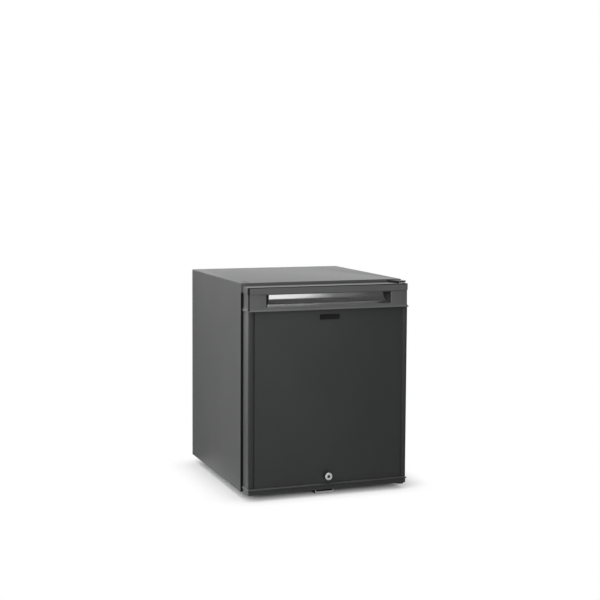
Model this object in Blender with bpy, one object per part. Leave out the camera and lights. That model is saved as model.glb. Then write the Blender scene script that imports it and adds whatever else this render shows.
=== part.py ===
"""Hotel minibar fridge: insulated cabinet, hinged locking door and absorption cooling unit, in metres, +Z up."""

import math

import bmesh
import bpy
from mathutils import Matrix, Vector

for old in list(bpy.data.objects):
    bpy.data.objects.remove(old)

# Cabinet
CABINET_WIDTH = 0.402
CABINET_DEPTH = 0.410
CABINET_HEIGHT = 0.485
FOOT_HEIGHT = 0.015
SHEET = 0.001
BEND_RADIUS = 0.002
FRONT_RETURN = 0.022
REAR_RETURN = 0.012
BOX_DEPTH = 0.306
SIDE_INSULATION = 0.033
TOP_INSULATION = 0.033
FLOOR_INSULATION = 0.038
REAR_INSULATION = 0.037
SILL_HEIGHT = 0.030
LINER_WALL = 0.0015
LINER_CORNER = 0.008
VENT_COUNT = 5
VENT_LENGTH = 0.038
VENT_WIDTH = 0.003
VENT_PITCH = 0.074
VENT_FROM_BACK = 0.006

# Fits
FIT = 0.0003
PLAY = 0.0005
OVERCUT = 0.002

# Door
DOOR_THICKNESS = 0.042
DOOR_GAP = 0.006
DOOR_SIDE_INSET = 0.003
DOOR_TOP_DROP = 0.007
DOOR_FLOOR_RISE = 0.0005
TOP_CAP_HEIGHT = 0.055
BAND_HEIGHT = 0.016
BAND_PROUD = 0.0014
RIDGE_PROUD = 0.003
RIDGE_HEIGHT = 0.004
RIDGE_LIP = 0.0015
BOTTOM_CAP_HEIGHT = 0.015
BOTTOM_CAP_INSET = 0.001
CAP_WALL = 0.0025
DOOR_RETURN = 0.009
DOOR_SHEET = 0.0015
STRIP_WIDTH = 0.010
GROOVE_WIDTH = 0.004
GROOVE_DEPTH = 0.0025
PANEL_SETBACK = 0.001
PANEL_SHEET = 0.0012
PANEL_LAP = 0.003
GASKET_SLOT = 0.004
GASKET_WIDTH = 0.013
PLUG_REACH = 0.018
PLUG_SIDE_PLAY = 0.018
PLUG_FLOOR_PLAY = 0.010

# Grip
GRIP_WIDTH = 0.310
GRIP_HEIGHT = 0.028
GRIP_DROP = 0.0175
GRIP_DEPTH = 0.0175
GRIP_END_SLANT = 0.014
GRIP_WALL = 0.0015
GRIP_FLANGE = 0.006
GRIP_HIDDEN_RIM = 0.001
GRIP_STEPS = 8

# Bare plate under the grip
PLATE_WIDTH = 0.049
PLATE_HEIGHT = 0.012
PLATE_THICKNESS = 0.0008
PLATE_DROP = 0.072

# Hinges, measured from the cabinet's right side and ahead of its front
HINGE_INSET = 0.012
HINGE_REACH = 0.033
BRACKET_INSET = 0.0034
BRACKET_WIDTH = 0.0326
BRACKET_SHEET = 0.003
TOP_TONGUE = 0.048
FLOOR_TONGUE = 0.040
PIN_RADIUS = 0.003
PIN_HEAD_RADIUS = 0.0045
PIN_HEAD_HEIGHT = 0.0008
PIN_REACH = 0.009
BUSH_WALL = 0.002
BUSH_LENGTH = 0.0085
BUSH_FLANGE_RADIUS = 0.0075
BUSH_FLANGE = 0.001
SCREW_RADIUS = 0.002
SCREW_HEAD_RADIUS = 0.004
SCREW_HEAD_HEIGHT = 0.0018
SCREW_INSET = 0.020
SCREW_FIRST = 0.010
TOP_SCREW_SPACING = 0.030
FLOOR_SCREW_SPACING = 0.020

# Lock and catch
LOCK_OFFSET = -0.004
LOCK_RISE = 0.033
LOCK_PROUD = 0.012
LOCK_RADIUS = 0.0087
LOCK_NECK_RADIUS = 0.007
LOCK_NECK_LENGTH = 0.0105
CORE_RADIUS = 0.0040
CORE_SETBACK = 0.0008
CORE_LENGTH = 0.0290
KEYWAY_OUTER = 0.0032
KEYWAY_INNER = 0.0019
KEYWAY_DEPTH = 0.005
CAM_THICKNESS = 0.002
CAM_RADIUS = 0.0105
CRANK_PIN_RADIUS = 0.002
CRANK_PIN_LENGTH = 0.0045
CRANK_START = math.radians(45)
BOLT_THICKNESS = 0.003
BOLT_WIDTH = 0.020
BOLT_BEHIND_CAM = 0.001
BOLT_ABOVE_CATCH = 0.001
BOLT_REST_RISE = 0.0005
CASE_WALL = 0.0015
CASE_HALF_WIDTH = 0.0145
CASE_HEIGHT = 0.053
CATCH_WIDTH = 0.045
CATCH_DROP = 0.0125
CATCH_SHEET = 0.0015
CATCH_LIP = 0.005
CATCH_LIP_PLAY = 0.001
CATCH_TONGUE = 0.030
CATCH_TAB = 0.012
CATCH_DOOR_PLAY = 0.0012

# Inside
GUIDE_PROUD = 0.006
GUIDE_THICKNESS = 0.005
GUIDE_FRONT = 0.090
GUIDE_BACK_GAP = 0.006
FIRST_GUIDE = 0.085
GUIDE_PITCH = 0.085
GUIDE_COUNT = 3
SHELF_LEVELS = {"shelf_lower": 0, "shelf_upper": 1}
SHELF_SIDE_PLAY = 0.0015
SHELF_ROD = 0.002
SHELF_WIRE = 0.0013
SHELF_WIRE_PITCH = 0.0206
EVAPORATOR_WIDTH = 0.190
EVAPORATOR_HEIGHT = 0.095
EVAPORATOR_DROP = 0.018
EVAPORATOR_BASE = 0.004
FIN_DEPTH = 0.028
FIN_COUNT = 13
FIN_THICKNESS = 0.0016
TRAY_WIDTH = 0.206
TRAY_DEPTH = 0.042
TRAY_HEIGHT = 0.014
TRAY_WALL = 0.0016
TRAY_DROP = 0.004
CONTROL_WIDTH = 0.118
CONTROL_DEPTH = 0.105
CONTROL_HEIGHT = 0.038
CONTROL_SIDE_GAP = 0.010
CONTROL_FRONT = 0.122
KNOB_RADIUS = 0.0135
KNOB_DEPTH = 0.012
KNOB_FROM_SIDE = 0.024
KNOB_SHAFT_RADIUS = 0.003
KNOB_SHAFT_LENGTH = 0.012
LAMP_WIDTH = 0.048
LAMP_HEIGHT = 0.024
LAMP_DEPTH = 0.006
LAMP_WALL = 0.0015
LAMP_FROM_SIDE = 0.086
RACK_WIDTH = 0.288
RACK_DEPTH = 0.058
RACK_WALL = 0.002
RACK_SIDE_DROP = 0.018
RACKS = {"door_rack_lower": (0.014, 0.066), "door_rack_upper": (0.212, 0.050)}

# Feet and rear rail
FOOT_RADIUS = 0.014
FOOT_INSET = 0.034
FOOT_SETBACK = 0.060
RAIL_DEPTH = 0.042
RAIL_HEIGHT = 0.014
RAIL_SHEET = 0.0015

# Cooling unit: insets from the cabinet's sides, drops from its top, heights from its underside
UNIT_SETBACK = 0.050
JACKET_INSET = 0.083
JACKET_WIDTH = 0.076
JACKET_DEPTH = 0.074
JACKET_FLOOR = 0.130
JACKET_DROP = 0.120
BOILER_RADIUS = 0.011
BOILER_BELOW = 0.018
BOILER_TURN = 0.026
HEATER_RADIUS = 0.0055
HEATER_OFFSET = 0.024
HEATER_BELOW = 0.022
HEATER_REACH = 0.150
CONDENSER_RADIUS = 0.009
CONDENSER_DROP = 0.040
CONDENSER_FALL = 0.012
CONDENSER_INSET = 0.0677
COND_FIN_PITCH = 0.0185
COND_FIN_FIRST = 0.018
COND_FIN_THICKNESS = 0.001
COND_FIN_HEIGHT = 0.056
COND_FIN_DEPTH = 0.066
EVAPORATOR_PIPE_RADIUS = 0.007
EVAPORATOR_PIPE_X = -0.070
EVAPORATOR_PIPE_DROP = 0.100
EVAPORATOR_PIPE_SIDE = 0.018
GAS_PIPE_RADIUS = 0.012
GAS_PIPE_INSET = 0.026
GAS_PIPE_DROP = 0.110
TANK_RADIUS = 0.026
TANK_HEIGHT = 0.085
TANK_INSET = 0.036
TANK_GAP = 0.058
TANK_DOME = 0.008
COIL_RADIUS = 0.008
COIL_INSET = 0.046
COIL_GAP = 0.046
COIL_DROP = 0.145
COIL_PITCH = 0.038
COIL_FOOT = 0.035
COIL_FALL = 0.006
LIQUID_RADIUS = 0.007
DRAIN_RADIUS = 0.004
DRAIN_X = -0.030
DRAIN_SETBACK = 0.010
TERMINAL_INSET = 0.076
TERMINAL_WIDTH = 0.080
TERMINAL_DEPTH = 0.056
TERMINAL_HEIGHT = 0.050
TERMINAL_FLOOR = 0.018
INLET_WIDTH = 0.048
INLET_HEIGHT = 0.028
INLET_DEPTH = 0.016
INLET_WALL = 0.003
INLET_BLADE = 0.0022

# Rounding of moulded edges and the steps of round pieces
SOFT_EDGE = 0.0012
ROUND_STEPS = 24
SMALL_STEPS = 16

# Places that follow from the sizes above
OVERALL_DEPTH = LOCK_PROUD + DOOR_THICKNESS + DOOR_GAP + CABINET_DEPTH
HALF = CABINET_WIDTH / 2
BASE = FOOT_HEIGHT
TOP = BASE + CABINET_HEIGHT
BACK = OVERALL_DEPTH / 2
FRONT = BACK - CABINET_DEPTH
BOX_BACK = FRONT + BOX_DEPTH
PANEL_FACE = BOX_BACK - SHEET
CAVITY_HALF = HALF - SIDE_INSULATION
CAVITY_TOP = TOP - TOP_INSULATION
CAVITY_FLOOR = BASE + FLOOR_INSULATION
CAVITY_BACK = BOX_BACK - REAR_INSULATION
DOOR_BACK = FRONT - DOOR_GAP
DOOR_FRONT = DOOR_BACK - DOOR_THICKNESS
DOOR_FACE = DOOR_FRONT + BAND_PROUD
DOOR_HALF = HALF - DOOR_SIDE_INSET
DOOR_FLOOR = BASE + DOOR_FLOOR_RISE
DOOR_TOP = TOP - DOOR_TOP_DROP
PROFILE_HALF = DOOR_HALF - BAND_PROUD
PROFILE_FLOOR = DOOR_FLOOR + BOTTOM_CAP_HEIGHT + FIT
PROFILE_TOP = DOOR_TOP - TOP_CAP_HEIGHT - FIT
CORE_HALF = PROFILE_HALF - BOTTOM_CAP_INSET - CAP_WALL - FIT
PANEL_HALF = PROFILE_HALF - STRIP_WIDTH - GROOVE_WIDTH
PANEL_FRONT = DOOR_FACE + PANEL_SETBACK
FRAME_INSET = BAND_PROUD + BOTTOM_CAP_INSET + DOOR_RETURN
FOAM_FRONT = DOOR_FACE + GROOVE_DEPTH + DOOR_SHEET + FIT
LINER_FACE = DOOR_BACK - DOOR_SHEET
PLUG_HALF = CAVITY_HALF - PLUG_SIDE_PLAY
PLUG_FLOOR = CAVITY_FLOOR + PLUG_FLOOR_PLAY
PLUG_TOP = CAVITY_TOP - PLUG_FLOOR_PLAY
PLUG_BACK = FRONT + PLUG_REACH
HINGE_X = HALF - HINGE_INSET
HINGE_Y = FRONT - HINGE_REACH
TOP_PLATE_TOP = TOP - SHEET - FIT
TOP_PLATE_FLOOR = TOP_PLATE_TOP - BRACKET_SHEET
FLOOR_PLATE_TOP = BASE - FIT
FLOOR_PLATE_FLOOR = FLOOR_PLATE_TOP - BRACKET_SHEET
LOCK_Z = DOOR_FLOOR + LOCK_RISE
LOCK_TIP = DOOR_FRONT - LOCK_PROUD
CORE_TIP = LOCK_TIP + CORE_SETBACK
CAM_FRONT = CORE_TIP + CORE_LENGTH + FIT
CAM_BACK = CAM_FRONT + CAM_THICKNESS
BOLT_FRONT = CAM_BACK + BOLT_BEHIND_CAM
BOLT_BACK = BOLT_FRONT + BOLT_THICKNESS
CATCH_FLOOR = BASE - CATCH_DROP
BOLT_REST = DOOR_FLOOR + BOLT_REST_RISE
BOLT_TRAVEL = BOLT_REST - (CATCH_FLOOR + CATCH_SHEET + BOLT_ABOVE_CATCH)
CRANK_RADIUS = BOLT_TRAVEL / (2 * math.sin(CRANK_START))
UNIT_Y = BOX_BACK + UNIT_SETBACK
EVAPORATOR_TOP = CAVITY_TOP - EVAPORATOR_DROP
EVAPORATOR_FLOOR = EVAPORATOR_TOP - EVAPORATOR_HEIGHT
TRAY_TOP = EVAPORATOR_FLOOR - TRAY_DROP
CONTROL_RIGHT = CAVITY_HALF - CONTROL_SIDE_GAP
CONTROL_FACE = FRONT + CONTROL_FRONT
CONTROL_Z = CAVITY_TOP - FIT - CONTROL_HEIGHT / 2
REAR_LINE = BACK - SHEET - FIT
DRAIN_Z = TRAY_TOP - TRAY_HEIGHT / 2
JACKET_X = HALF - JACKET_INSET
JACKET_TOP = TOP - JACKET_DROP
CONDENSER_Z = TOP - CONDENSER_DROP
CONDENSER_START = JACKET_X - BOILER_TURN - FIT
CONDENSER_END = CONDENSER_INSET - HALF
CONDENSER_LENGTH = CONDENSER_START - CONDENSER_END
EVAPORATOR_PIPE_Z = TOP - EVAPORATOR_PIPE_DROP
GAS_PIPE_Z = TOP - GAS_PIPE_DROP
TANK_Z = BASE + TANK_HEIGHT
TANK_TOP = TANK_Z + TANK_RADIUS + FIT
TANK_LEFT = TANK_INSET - HALF
TANK_RIGHT = JACKET_X - TANK_GAP
GAS_PIPE_X = TANK_RIGHT - GAS_PIPE_INSET
COIL_LEFT = COIL_INSET - HALF
COIL_RIGHT = GAS_PIPE_X - COIL_GAP
COIL_TOP = TOP - COIL_DROP
TERMINAL_X = HALF - TERMINAL_INSET
CASE_FRONT = DOOR_FACE + BOTTOM_CAP_INSET + CAP_WALL + FIT
CASE_BACK = BOLT_BACK + PLAY + CASE_WALL


def material(name, colour, roughness, metallic=0.0):
    made = bpy.data.materials.new(name)
    made.use_nodes = True
    shader = made.node_tree.nodes["Principled BSDF"]
    shader.inputs["Base Color"].default_value = (*colour, 1.0)
    shader.inputs["Roughness"].default_value = roughness
    shader.inputs["Metallic"].default_value = metallic
    return made


CABINET_PAINT = material("cabinet_paint", (0.16, 0.16, 0.16), 0.5)
DOOR_PLASTIC = material("door_plastic", (0.06, 0.06, 0.06), 0.5)
DOOR_SHEET_PAINT = material("door_sheet", (0.045, 0.045, 0.045), 0.45)
GLOSS_BLACK = material("gloss_black", (0.02, 0.02, 0.02), 0.08)
BLACK_STEEL = material("black_steel", (0.015, 0.015, 0.015), 0.5, 0.3)
CHROME = material("chrome", (0.75, 0.75, 0.75), 0.2, 1.0)
STEEL = material("steel", (0.55, 0.55, 0.56), 0.35, 1.0)
WHITE_PLASTIC = material("white_plastic", (0.78, 0.79, 0.78), 0.4)
FOAM = material("foam", (0.80, 0.72, 0.48), 0.9)
RUBBER = material("rubber", (0.02, 0.02, 0.02), 0.7)
ALUMINIUM = material("aluminium", (0.68, 0.69, 0.70), 0.35, 1.0)
GALVANISED = material("galvanised", (0.48, 0.49, 0.50), 0.45, 0.8)
CLEAR_PLASTIC = material("clear_plastic", (0.85, 0.86, 0.86), 0.2)
UNIT_BLACK = material("unit_black", (0.02, 0.02, 0.02), 0.55)


def centred(size, middle=0.0):
    return (middle - size / 2, middle + size / 2)


def solid(mesh_data):
    """An unnamed object made from a finished bmesh, with its faces pointing out."""
    bmesh.ops.recalc_face_normals(mesh_data, faces=mesh_data.faces)
    mesh = bpy.data.meshes.new("blank")
    mesh_data.to_mesh(mesh)
    mesh_data.free()
    made = bpy.data.objects.new("blank", mesh)
    bpy.context.scene.collection.objects.link(made)
    return made


def block(x, y, z, edge=0.0, steps=2):
    """A box between two limits on each axis, with rounded edges where asked."""
    mesh_data = bmesh.new()
    size = Vector((x[1] - x[0], y[1] - y[0], z[1] - z[0]))
    middle = Vector((sum(x) / 2, sum(y) / 2, sum(z) / 2))
    place = Matrix.Translation(middle) @ Matrix.Diagonal((*size, 1.0))
    bmesh.ops.create_cube(mesh_data, size=1.0, matrix=place)
    if edge:
        edge = min(edge, min(size) / 3)
        bmesh.ops.bevel(mesh_data, geom=mesh_data.edges[:], offset=edge, segments=steps, profile=0.5, affect="EDGES")
    return solid(mesh_data)


def loft(rings):
    """A closed solid through rings of points, each ring with as many points as the next."""
    mesh_data = bmesh.new()
    rows = [[mesh_data.verts.new(point) for point in ring] for ring in rings]
    for near, far in zip(rows, rows[1:]):
        for index in range(len(near)):
            following = (index + 1) % len(near)
            mesh_data.faces.new((near[index], near[following], far[following], far[index]))
    mesh_data.faces.new(rows[0])
    mesh_data.faces.new(rows[-1])
    return solid(mesh_data)


def extrusion(outline, axis, limits):
    """A prism: an outline of two coordinates, run along the third axis between its limits."""
    def placed(point, height):
        values = list(point)
        values.insert(axis, height)
        return values
    return loft([[placed(point, limit) for point in outline] for limit in limits])


def turned(profile, centre, axis, steps=ROUND_STEPS):
    """A solid of revolution about an axis, from (radius, height) points; a radius of 0 is a pole."""
    mesh_data = bmesh.new()
    rings = []
    for radius, height in profile:
        ring = []
        for step in range(steps if radius else 1):
            angle = 2 * math.pi * step / steps
            across = [radius * math.cos(angle), radius * math.sin(angle)]
            across.insert(axis, height)
            ring.append(mesh_data.verts.new(Vector(across) + Vector(centre)))
        rings.append(ring)
    closed = all(radius for radius, height in profile)
    pairs = list(zip(rings, rings[1:] + rings[:1])) if closed else list(zip(rings, rings[1:]))
    for near, far in pairs:
        for step in range(steps):
            following = (step + 1) % steps
            corners = [near[step % len(near)], near[following % len(near)]]
            corners += [far[following % len(far)], far[step % len(far)]]
            mesh_data.faces.new(list(dict.fromkeys(corners)))
    return solid(mesh_data)


def rod(radius, centre, axis, limits, steps=ROUND_STEPS):
    low, high = limits
    return turned([(0, low), (radius, low), (radius, high), (0, high)], centre, axis, steps)


def combine(target, tools, operation):
    for tool in tools:
        modifier = target.modifiers.new("combine", "BOOLEAN")
        modifier.operation = operation
        modifier.object = tool
        modifier.solver = "EXACT"
    view = bpy.context.evaluated_depsgraph_get()
    mesh = bpy.data.meshes.new_from_object(target.evaluated_get(view))
    target.modifiers.clear()
    target.data = mesh
    for tool in tools:
        bpy.data.objects.remove(tool)
    return target


def join(target, *tools):
    return combine(target, tools, "UNION")


def cut(target, *tools):
    return combine(target, tools, "DIFFERENCE")


def rounded_path(points, bend, steps=5):
    """The points of a pipe's centre line, with each corner turned on an arc of the given radius."""
    points = [Vector(point) for point in points]
    path = [points[0]]
    for before, corner, after in zip(points, points[1:], points[2:]):
        back = (before - corner).normalized()
        ahead = (after - corner).normalized()
        half = back.angle(ahead) / 2
        reach = bend / math.tan(half)
        middle = corner + (back + ahead).normalized() * (bend / math.sin(half))
        start = corner + back * reach - middle
        end = corner + ahead * reach - middle
        for step in range(steps + 1):
            path.append(middle + start.slerp(end, step / steps).normalized() * bend)
    path.append(points[-1])
    return path


def pipe(points, radius, bend, sides=2):
    """A bent tube along the points, as a mesh."""
    path = rounded_path(points, bend)
    curve = bpy.data.curves.new("pipe", "CURVE")
    curve.dimensions = "3D"
    curve.bevel_depth = radius
    curve.bevel_resolution = sides
    curve.use_fill_caps = True
    spline = curve.splines.new("POLY")
    spline.points.add(len(path) - 1)
    for point, place in zip(spline.points, path):
        point.co = (*place, 1.0)
    drawn = bpy.data.objects.new("pipe", curve)
    bpy.context.scene.collection.objects.link(drawn)
    view = bpy.context.evaluated_depsgraph_get()
    mesh_data = bmesh.new()
    mesh_data.from_mesh(bpy.data.meshes.new_from_object(drawn.evaluated_get(view)))
    bmesh.ops.remove_doubles(mesh_data, verts=mesh_data.verts, dist=0.000001)
    bpy.data.objects.remove(drawn)
    return solid(mesh_data)


CARRIER_PLACES = {}


def carrier(name, place, parent=None):
    """An empty on a joint's axis, which carries the pieces that turn or slide there."""
    made = bpy.data.objects.new(name, None)
    bpy.context.scene.collection.objects.link(made)
    CARRIER_PLACES[name] = Vector(place)
    made.location = CARRIER_PLACES[name]
    if parent:
        made.parent = parent
        made.location = CARRIER_PLACES[name] - CARRIER_PLACES[parent.name]
    return made


def piece(name, made, finish, on=None, smooth=False):
    """Names a finished solid, gives it its material and hangs it on its carrier."""
    made.name = name
    made.data.name = name
    made.data.materials.clear()
    made.data.materials.append(finish)
    if smooth:
        made.data.shade_smooth()
        made.data.set_sharp_from_angle(angle=math.radians(35))
    if on:
        made.data.transform(Matrix.Translation(-CARRIER_PLACES[on.name]))
        made.parent = on
    return made


DOOR = carrier("door_hinge_axis", (HINGE_X, HINGE_Y, DOOR_FLOOR))
LOCK = carrier("lock_axis", (LOCK_OFFSET, CORE_TIP, LOCK_Z), DOOR)
BOLT = carrier("bolt_slide", (LOCK_OFFSET, BOLT_FRONT, BOLT_REST), DOOR)
KNOB = carrier("knob_axis", (CONTROL_RIGHT - KNOB_FROM_SIDE, CONTROL_FACE, CONTROL_Z))


# Hinge pieces, whose outline also cuts the shell and the foam

def bracket_outline(tongue, grow=0.0):
    """The bracket from above: a tongue in the cabinet, tapering ahead to a nose round the pin."""
    right = HALF - BRACKET_INSET + grow
    left = HALF - BRACKET_INSET - BRACKET_WIDTH - grow
    nose = HINGE_INSET - BRACKET_INSET + grow
    points = [(left, FRONT + tongue + grow), (right, FRONT + tongue + grow)]
    first_angle = 0
    last_angle = -190
    turns = 9
    for step in range(turns + 1):
        angle = math.radians(first_angle + (last_angle - first_angle) * step / turns)
        points.append((HINGE_X + nose * math.cos(angle), HINGE_Y + nose * math.sin(angle)))
    points.append((left, FRONT))
    return points


def hinge_screws(first, spacing):
    return [(HALF - SCREW_INSET, FRONT + first + spacing * index) for index in range(2)]


TOP_SCREWS = hinge_screws(SCREW_FIRST, TOP_SCREW_SPACING)
FLOOR_SCREWS = hinge_screws(SCREW_FIRST, FLOOR_SCREW_SPACING)
CATCH_SCREWS = {
    "catch_screw_left": LOCK_OFFSET - CATCH_WIDTH / 2 - CATCH_TAB / 2,
    "catch_screw_right": LOCK_OFFSET + CATCH_WIDTH / 2 + CATCH_TAB / 2,
}
CATCH_SCREW_Y = FRONT + CATCH_TONGUE / 2


def hole(radius, place, limits):
    return rod(radius, (*place, 0.0), 2, limits, SMALL_STEPS)


def screw(place, head, under, tip):
    """A pan-head screw along Z, from the free face of its head, by the head's underside, to its tip."""
    crown = (head + under) / 2
    profile = [(0, head), (SCREW_HEAD_RADIUS * 0.7, head), (SCREW_HEAD_RADIUS, crown)]
    profile += [(SCREW_HEAD_RADIUS, under), (SCREW_RADIUS, under), (SCREW_RADIUS, tip), (0, tip)]
    return turned(profile, (*place, 0.0), 2, SMALL_STEPS)


def build_hinges():
    plate = extrusion(bracket_outline(TOP_TONGUE), 2, (TOP_PLATE_FLOOR, TOP_PLATE_TOP))
    through = (TOP_PLATE_FLOOR - OVERCUT, TOP_PLATE_TOP + OVERCUT)
    holes = [hole(PIN_RADIUS + FIT, (HINGE_X, HINGE_Y), through)]
    holes += [hole(SCREW_RADIUS + FIT, place, through) for place in TOP_SCREWS]
    piece("top_hinge_bracket", cut(plate, *holes), BLACK_STEEL)

    plate = extrusion(bracket_outline(FLOOR_TONGUE), 2, (FLOOR_PLATE_FLOOR, FLOOR_PLATE_TOP))
    through = (FLOOR_PLATE_FLOOR - OVERCUT, FLOOR_PLATE_TOP + OVERCUT)
    holes = [hole(PIN_RADIUS + FIT, (HINGE_X, HINGE_Y), through)]
    holes += [hole(SCREW_RADIUS + FIT, place, through) for place in FLOOR_SCREWS]
    piece("bottom_hinge_bracket", cut(plate, *holes), BLACK_STEEL)

    centre = (HINGE_X, HINGE_Y, 0.0)
    head = TOP_PLATE_TOP + FIT
    profile = [(0, head + PIN_HEAD_HEIGHT), (PIN_HEAD_RADIUS, head + PIN_HEAD_HEIGHT), (PIN_HEAD_RADIUS, head)]
    profile += [(PIN_RADIUS, head), (PIN_RADIUS, DOOR_TOP - PIN_REACH), (0, DOOR_TOP - PIN_REACH)]
    piece("top_hinge_pin", turned(profile, centre, 2, SMALL_STEPS), STEEL, smooth=True)

    head = FLOOR_PLATE_FLOOR - FIT
    profile = [(0, head - PIN_HEAD_HEIGHT), (PIN_HEAD_RADIUS, head - PIN_HEAD_HEIGHT), (PIN_HEAD_RADIUS, head)]
    profile += [(PIN_RADIUS, head), (PIN_RADIUS, DOOR_FLOOR + PIN_REACH), (0, DOOR_FLOOR + PIN_REACH)]
    piece("bottom_hinge_pin", turned(profile, centre, 2, SMALL_STEPS), STEEL, smooth=True)

    for index, place in enumerate(TOP_SCREWS):
        made = screw(place, TOP, TOP - SHEET, TOP_PLATE_FLOOR)
        piece(f"top_hinge_screw_{index + 1}", made, STEEL, smooth=True)
    under = FLOOR_PLATE_FLOOR - FIT
    for index, place in enumerate(FLOOR_SCREWS):
        made = screw(place, under - SCREW_HEAD_HEIGHT, under, BASE + SHEET)
        piece(f"bottom_hinge_screw_{index + 1}", made, STEEL, smooth=True)


def bush_seat(low, high):
    """A cutter for the hole that holds a bush."""
    return hole(PIN_RADIUS + BUSH_WALL + 2 * FIT, (HINGE_X, HINGE_Y), (low, high))


def bush(face, depth_sign):
    """A flanged bush in the door's end face, its sleeve running into the door."""
    inner = PIN_RADIUS + FIT
    outer = inner + BUSH_WALL
    out = face - depth_sign * BUSH_FLANGE
    inside = face + depth_sign * BUSH_LENGTH
    seat = face - depth_sign * FIT
    profile = [(inner, out), (BUSH_FLANGE_RADIUS, out), (BUSH_FLANGE_RADIUS, seat)]
    profile += [(outer, seat), (outer, inside), (inner, inside)]
    return turned(profile, (HINGE_X, HINGE_Y, 0.0), 2, SMALL_STEPS)


# Cabinet pieces

def shell_outline(inset, floor):
    """The wrapped sheet's outline from the front, its two top bends rounded."""
    half = HALF - inset
    top = TOP - inset
    radius = max(BEND_RADIUS - inset, SHEET / 2)
    points = [(-half, floor), (half, floor)]
    turns = 4
    for centre_x, first_angle in ((half - radius, 0), (radius - half, 90)):
        for step in range(turns + 1):
            angle = math.radians(first_angle + 90 * step / turns)
            points.append((centre_x + radius * math.cos(angle), top - radius + radius * math.sin(angle)))
    return points


def build_shell():
    shell = extrusion(shell_outline(0.0, BASE), 1, (FRONT, BACK))
    below = BASE - OVERCUT
    hollow = extrusion(shell_outline(SHEET, below), 1, (FRONT + SHEET, BACK - SHEET))
    front_half = HALF - FRONT_RETURN
    front_hole = block((-front_half, front_half), (FRONT - OVERCUT, FRONT + OVERCUT), (below, TOP - FRONT_RETURN))
    rear_half = HALF - REAR_RETURN
    rear_hole = block((-rear_half, rear_half), (BACK - OVERCUT, BACK + OVERCUT), (below, TOP - REAR_RETURN))
    slot_left = HALF - BRACKET_INSET - BRACKET_WIDTH - FIT
    slot_right = HALF - BRACKET_INSET + FIT
    slot_z = (TOP_PLATE_FLOOR - FIT, TOP_PLATE_TOP + FIT / 2)
    slot = block((slot_left, slot_right), (FRONT - OVERCUT, FRONT + OVERCUT), slot_z)
    above = (TOP - SHEET - OVERCUT, TOP + OVERCUT)
    screw_holes = [hole(SCREW_HEAD_RADIUS + FIT, place, above) for place in TOP_SCREWS]
    vents = []
    vent_y = centred(VENT_WIDTH, BACK - SHEET - VENT_FROM_BACK)
    for index in range(VENT_COUNT):
        middle = (index - (VENT_COUNT - 1) / 2) * VENT_PITCH
        vents.append(block(centred(VENT_LENGTH, middle), vent_y, above))
    cut(shell, hollow)
    cut(shell, front_hole, rear_hole, slot, *screw_holes, *vents)
    piece("outer_shell", shell, CABINET_PAINT, smooth=True)


def build_pan():
    side = HALF - SHEET - FIT
    inner = HALF - FRONT_RETURN - FIT
    behind = FRONT + SHEET + FIT
    pan = block((-side, side), (behind, BOX_BACK - SHEET - FIT), (BASE, BASE + SHEET))
    toe = block((-inner, inner), (FRONT, behind + OVERCUT), (BASE, BASE + SHEET))
    sill = block((-inner, inner), (FRONT, FRONT + SHEET), (BASE, BASE + SILL_HEIGHT))
    join(pan, toe, sill)
    through = (BASE - OVERCUT, BASE + SHEET + OVERCUT)
    holes = [hole(SCREW_RADIUS + FIT, place, through) for place in FLOOR_SCREWS]
    holes += [hole(SCREW_RADIUS + FIT, (x, CATCH_SCREW_Y), through) for x in CATCH_SCREWS.values()]
    piece("bottom_pan", cut(pan, *holes), GALVANISED)


def wall_holes(grow):
    """Cutters for the two unit pipes and the drain where they cross the rear wall."""
    limits = (CAVITY_BACK - OVERCUT, BOX_BACK + OVERCUT)
    pipes = [
        (EVAPORATOR_PIPE_RADIUS, EVAPORATOR_PIPE_X, EVAPORATOR_PIPE_Z),
        (GAS_PIPE_RADIUS, GAS_PIPE_X, GAS_PIPE_Z),
        (DRAIN_RADIUS, DRAIN_X, DRAIN_Z),
    ]
    return [rod(radius + grow, (x, 0.0, z), 1, limits, SMALL_STEPS) for radius, x, z in pipes]


def build_insulation():
    side = HALF - SHEET - FIT
    floor = BASE + SHEET + FIT
    panel = block((-side, side), (PANEL_FACE, BOX_BACK), (BASE, TOP - SHEET - FIT))
    piece("back_panel", cut(panel, *wall_holes(PLAY)), GALVANISED, smooth=True)

    foam = block((-side, side), (FRONT + SHEET + FIT, PANEL_FACE - FIT), (floor, TOP - SHEET - FIT))
    outer = CAVITY_HALF + LINER_WALL + FIT
    tub = block(
        (-outer, outer),
        (FRONT - OVERCUT, CAVITY_BACK + LINER_WALL + FIT),
        (CAVITY_FLOOR - LINER_WALL - FIT, CAVITY_TOP + LINER_WALL + FIT),
    )
    flange_half = HALF - FRONT_RETURN
    flange_seat = block(
        (-flange_half, flange_half),
        (FRONT - OVERCUT, FRONT + LINER_WALL + FIT),
        (BASE + SILL_HEIGHT, TOP - FRONT_RETURN),
    )
    pocket = block(
        (HALF - BRACKET_INSET - BRACKET_WIDTH - FIT, HALF - BRACKET_INSET + FIT),
        (FRONT - OVERCUT, FRONT + TOP_TONGUE + FIT),
        (TOP_PLATE_FLOOR - FIT, TOP + OVERCUT),
    )
    piece("cabinet_foam", cut(foam, tub, flange_seat, pocket, *wall_holes(PLAY)), FOAM)


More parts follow.
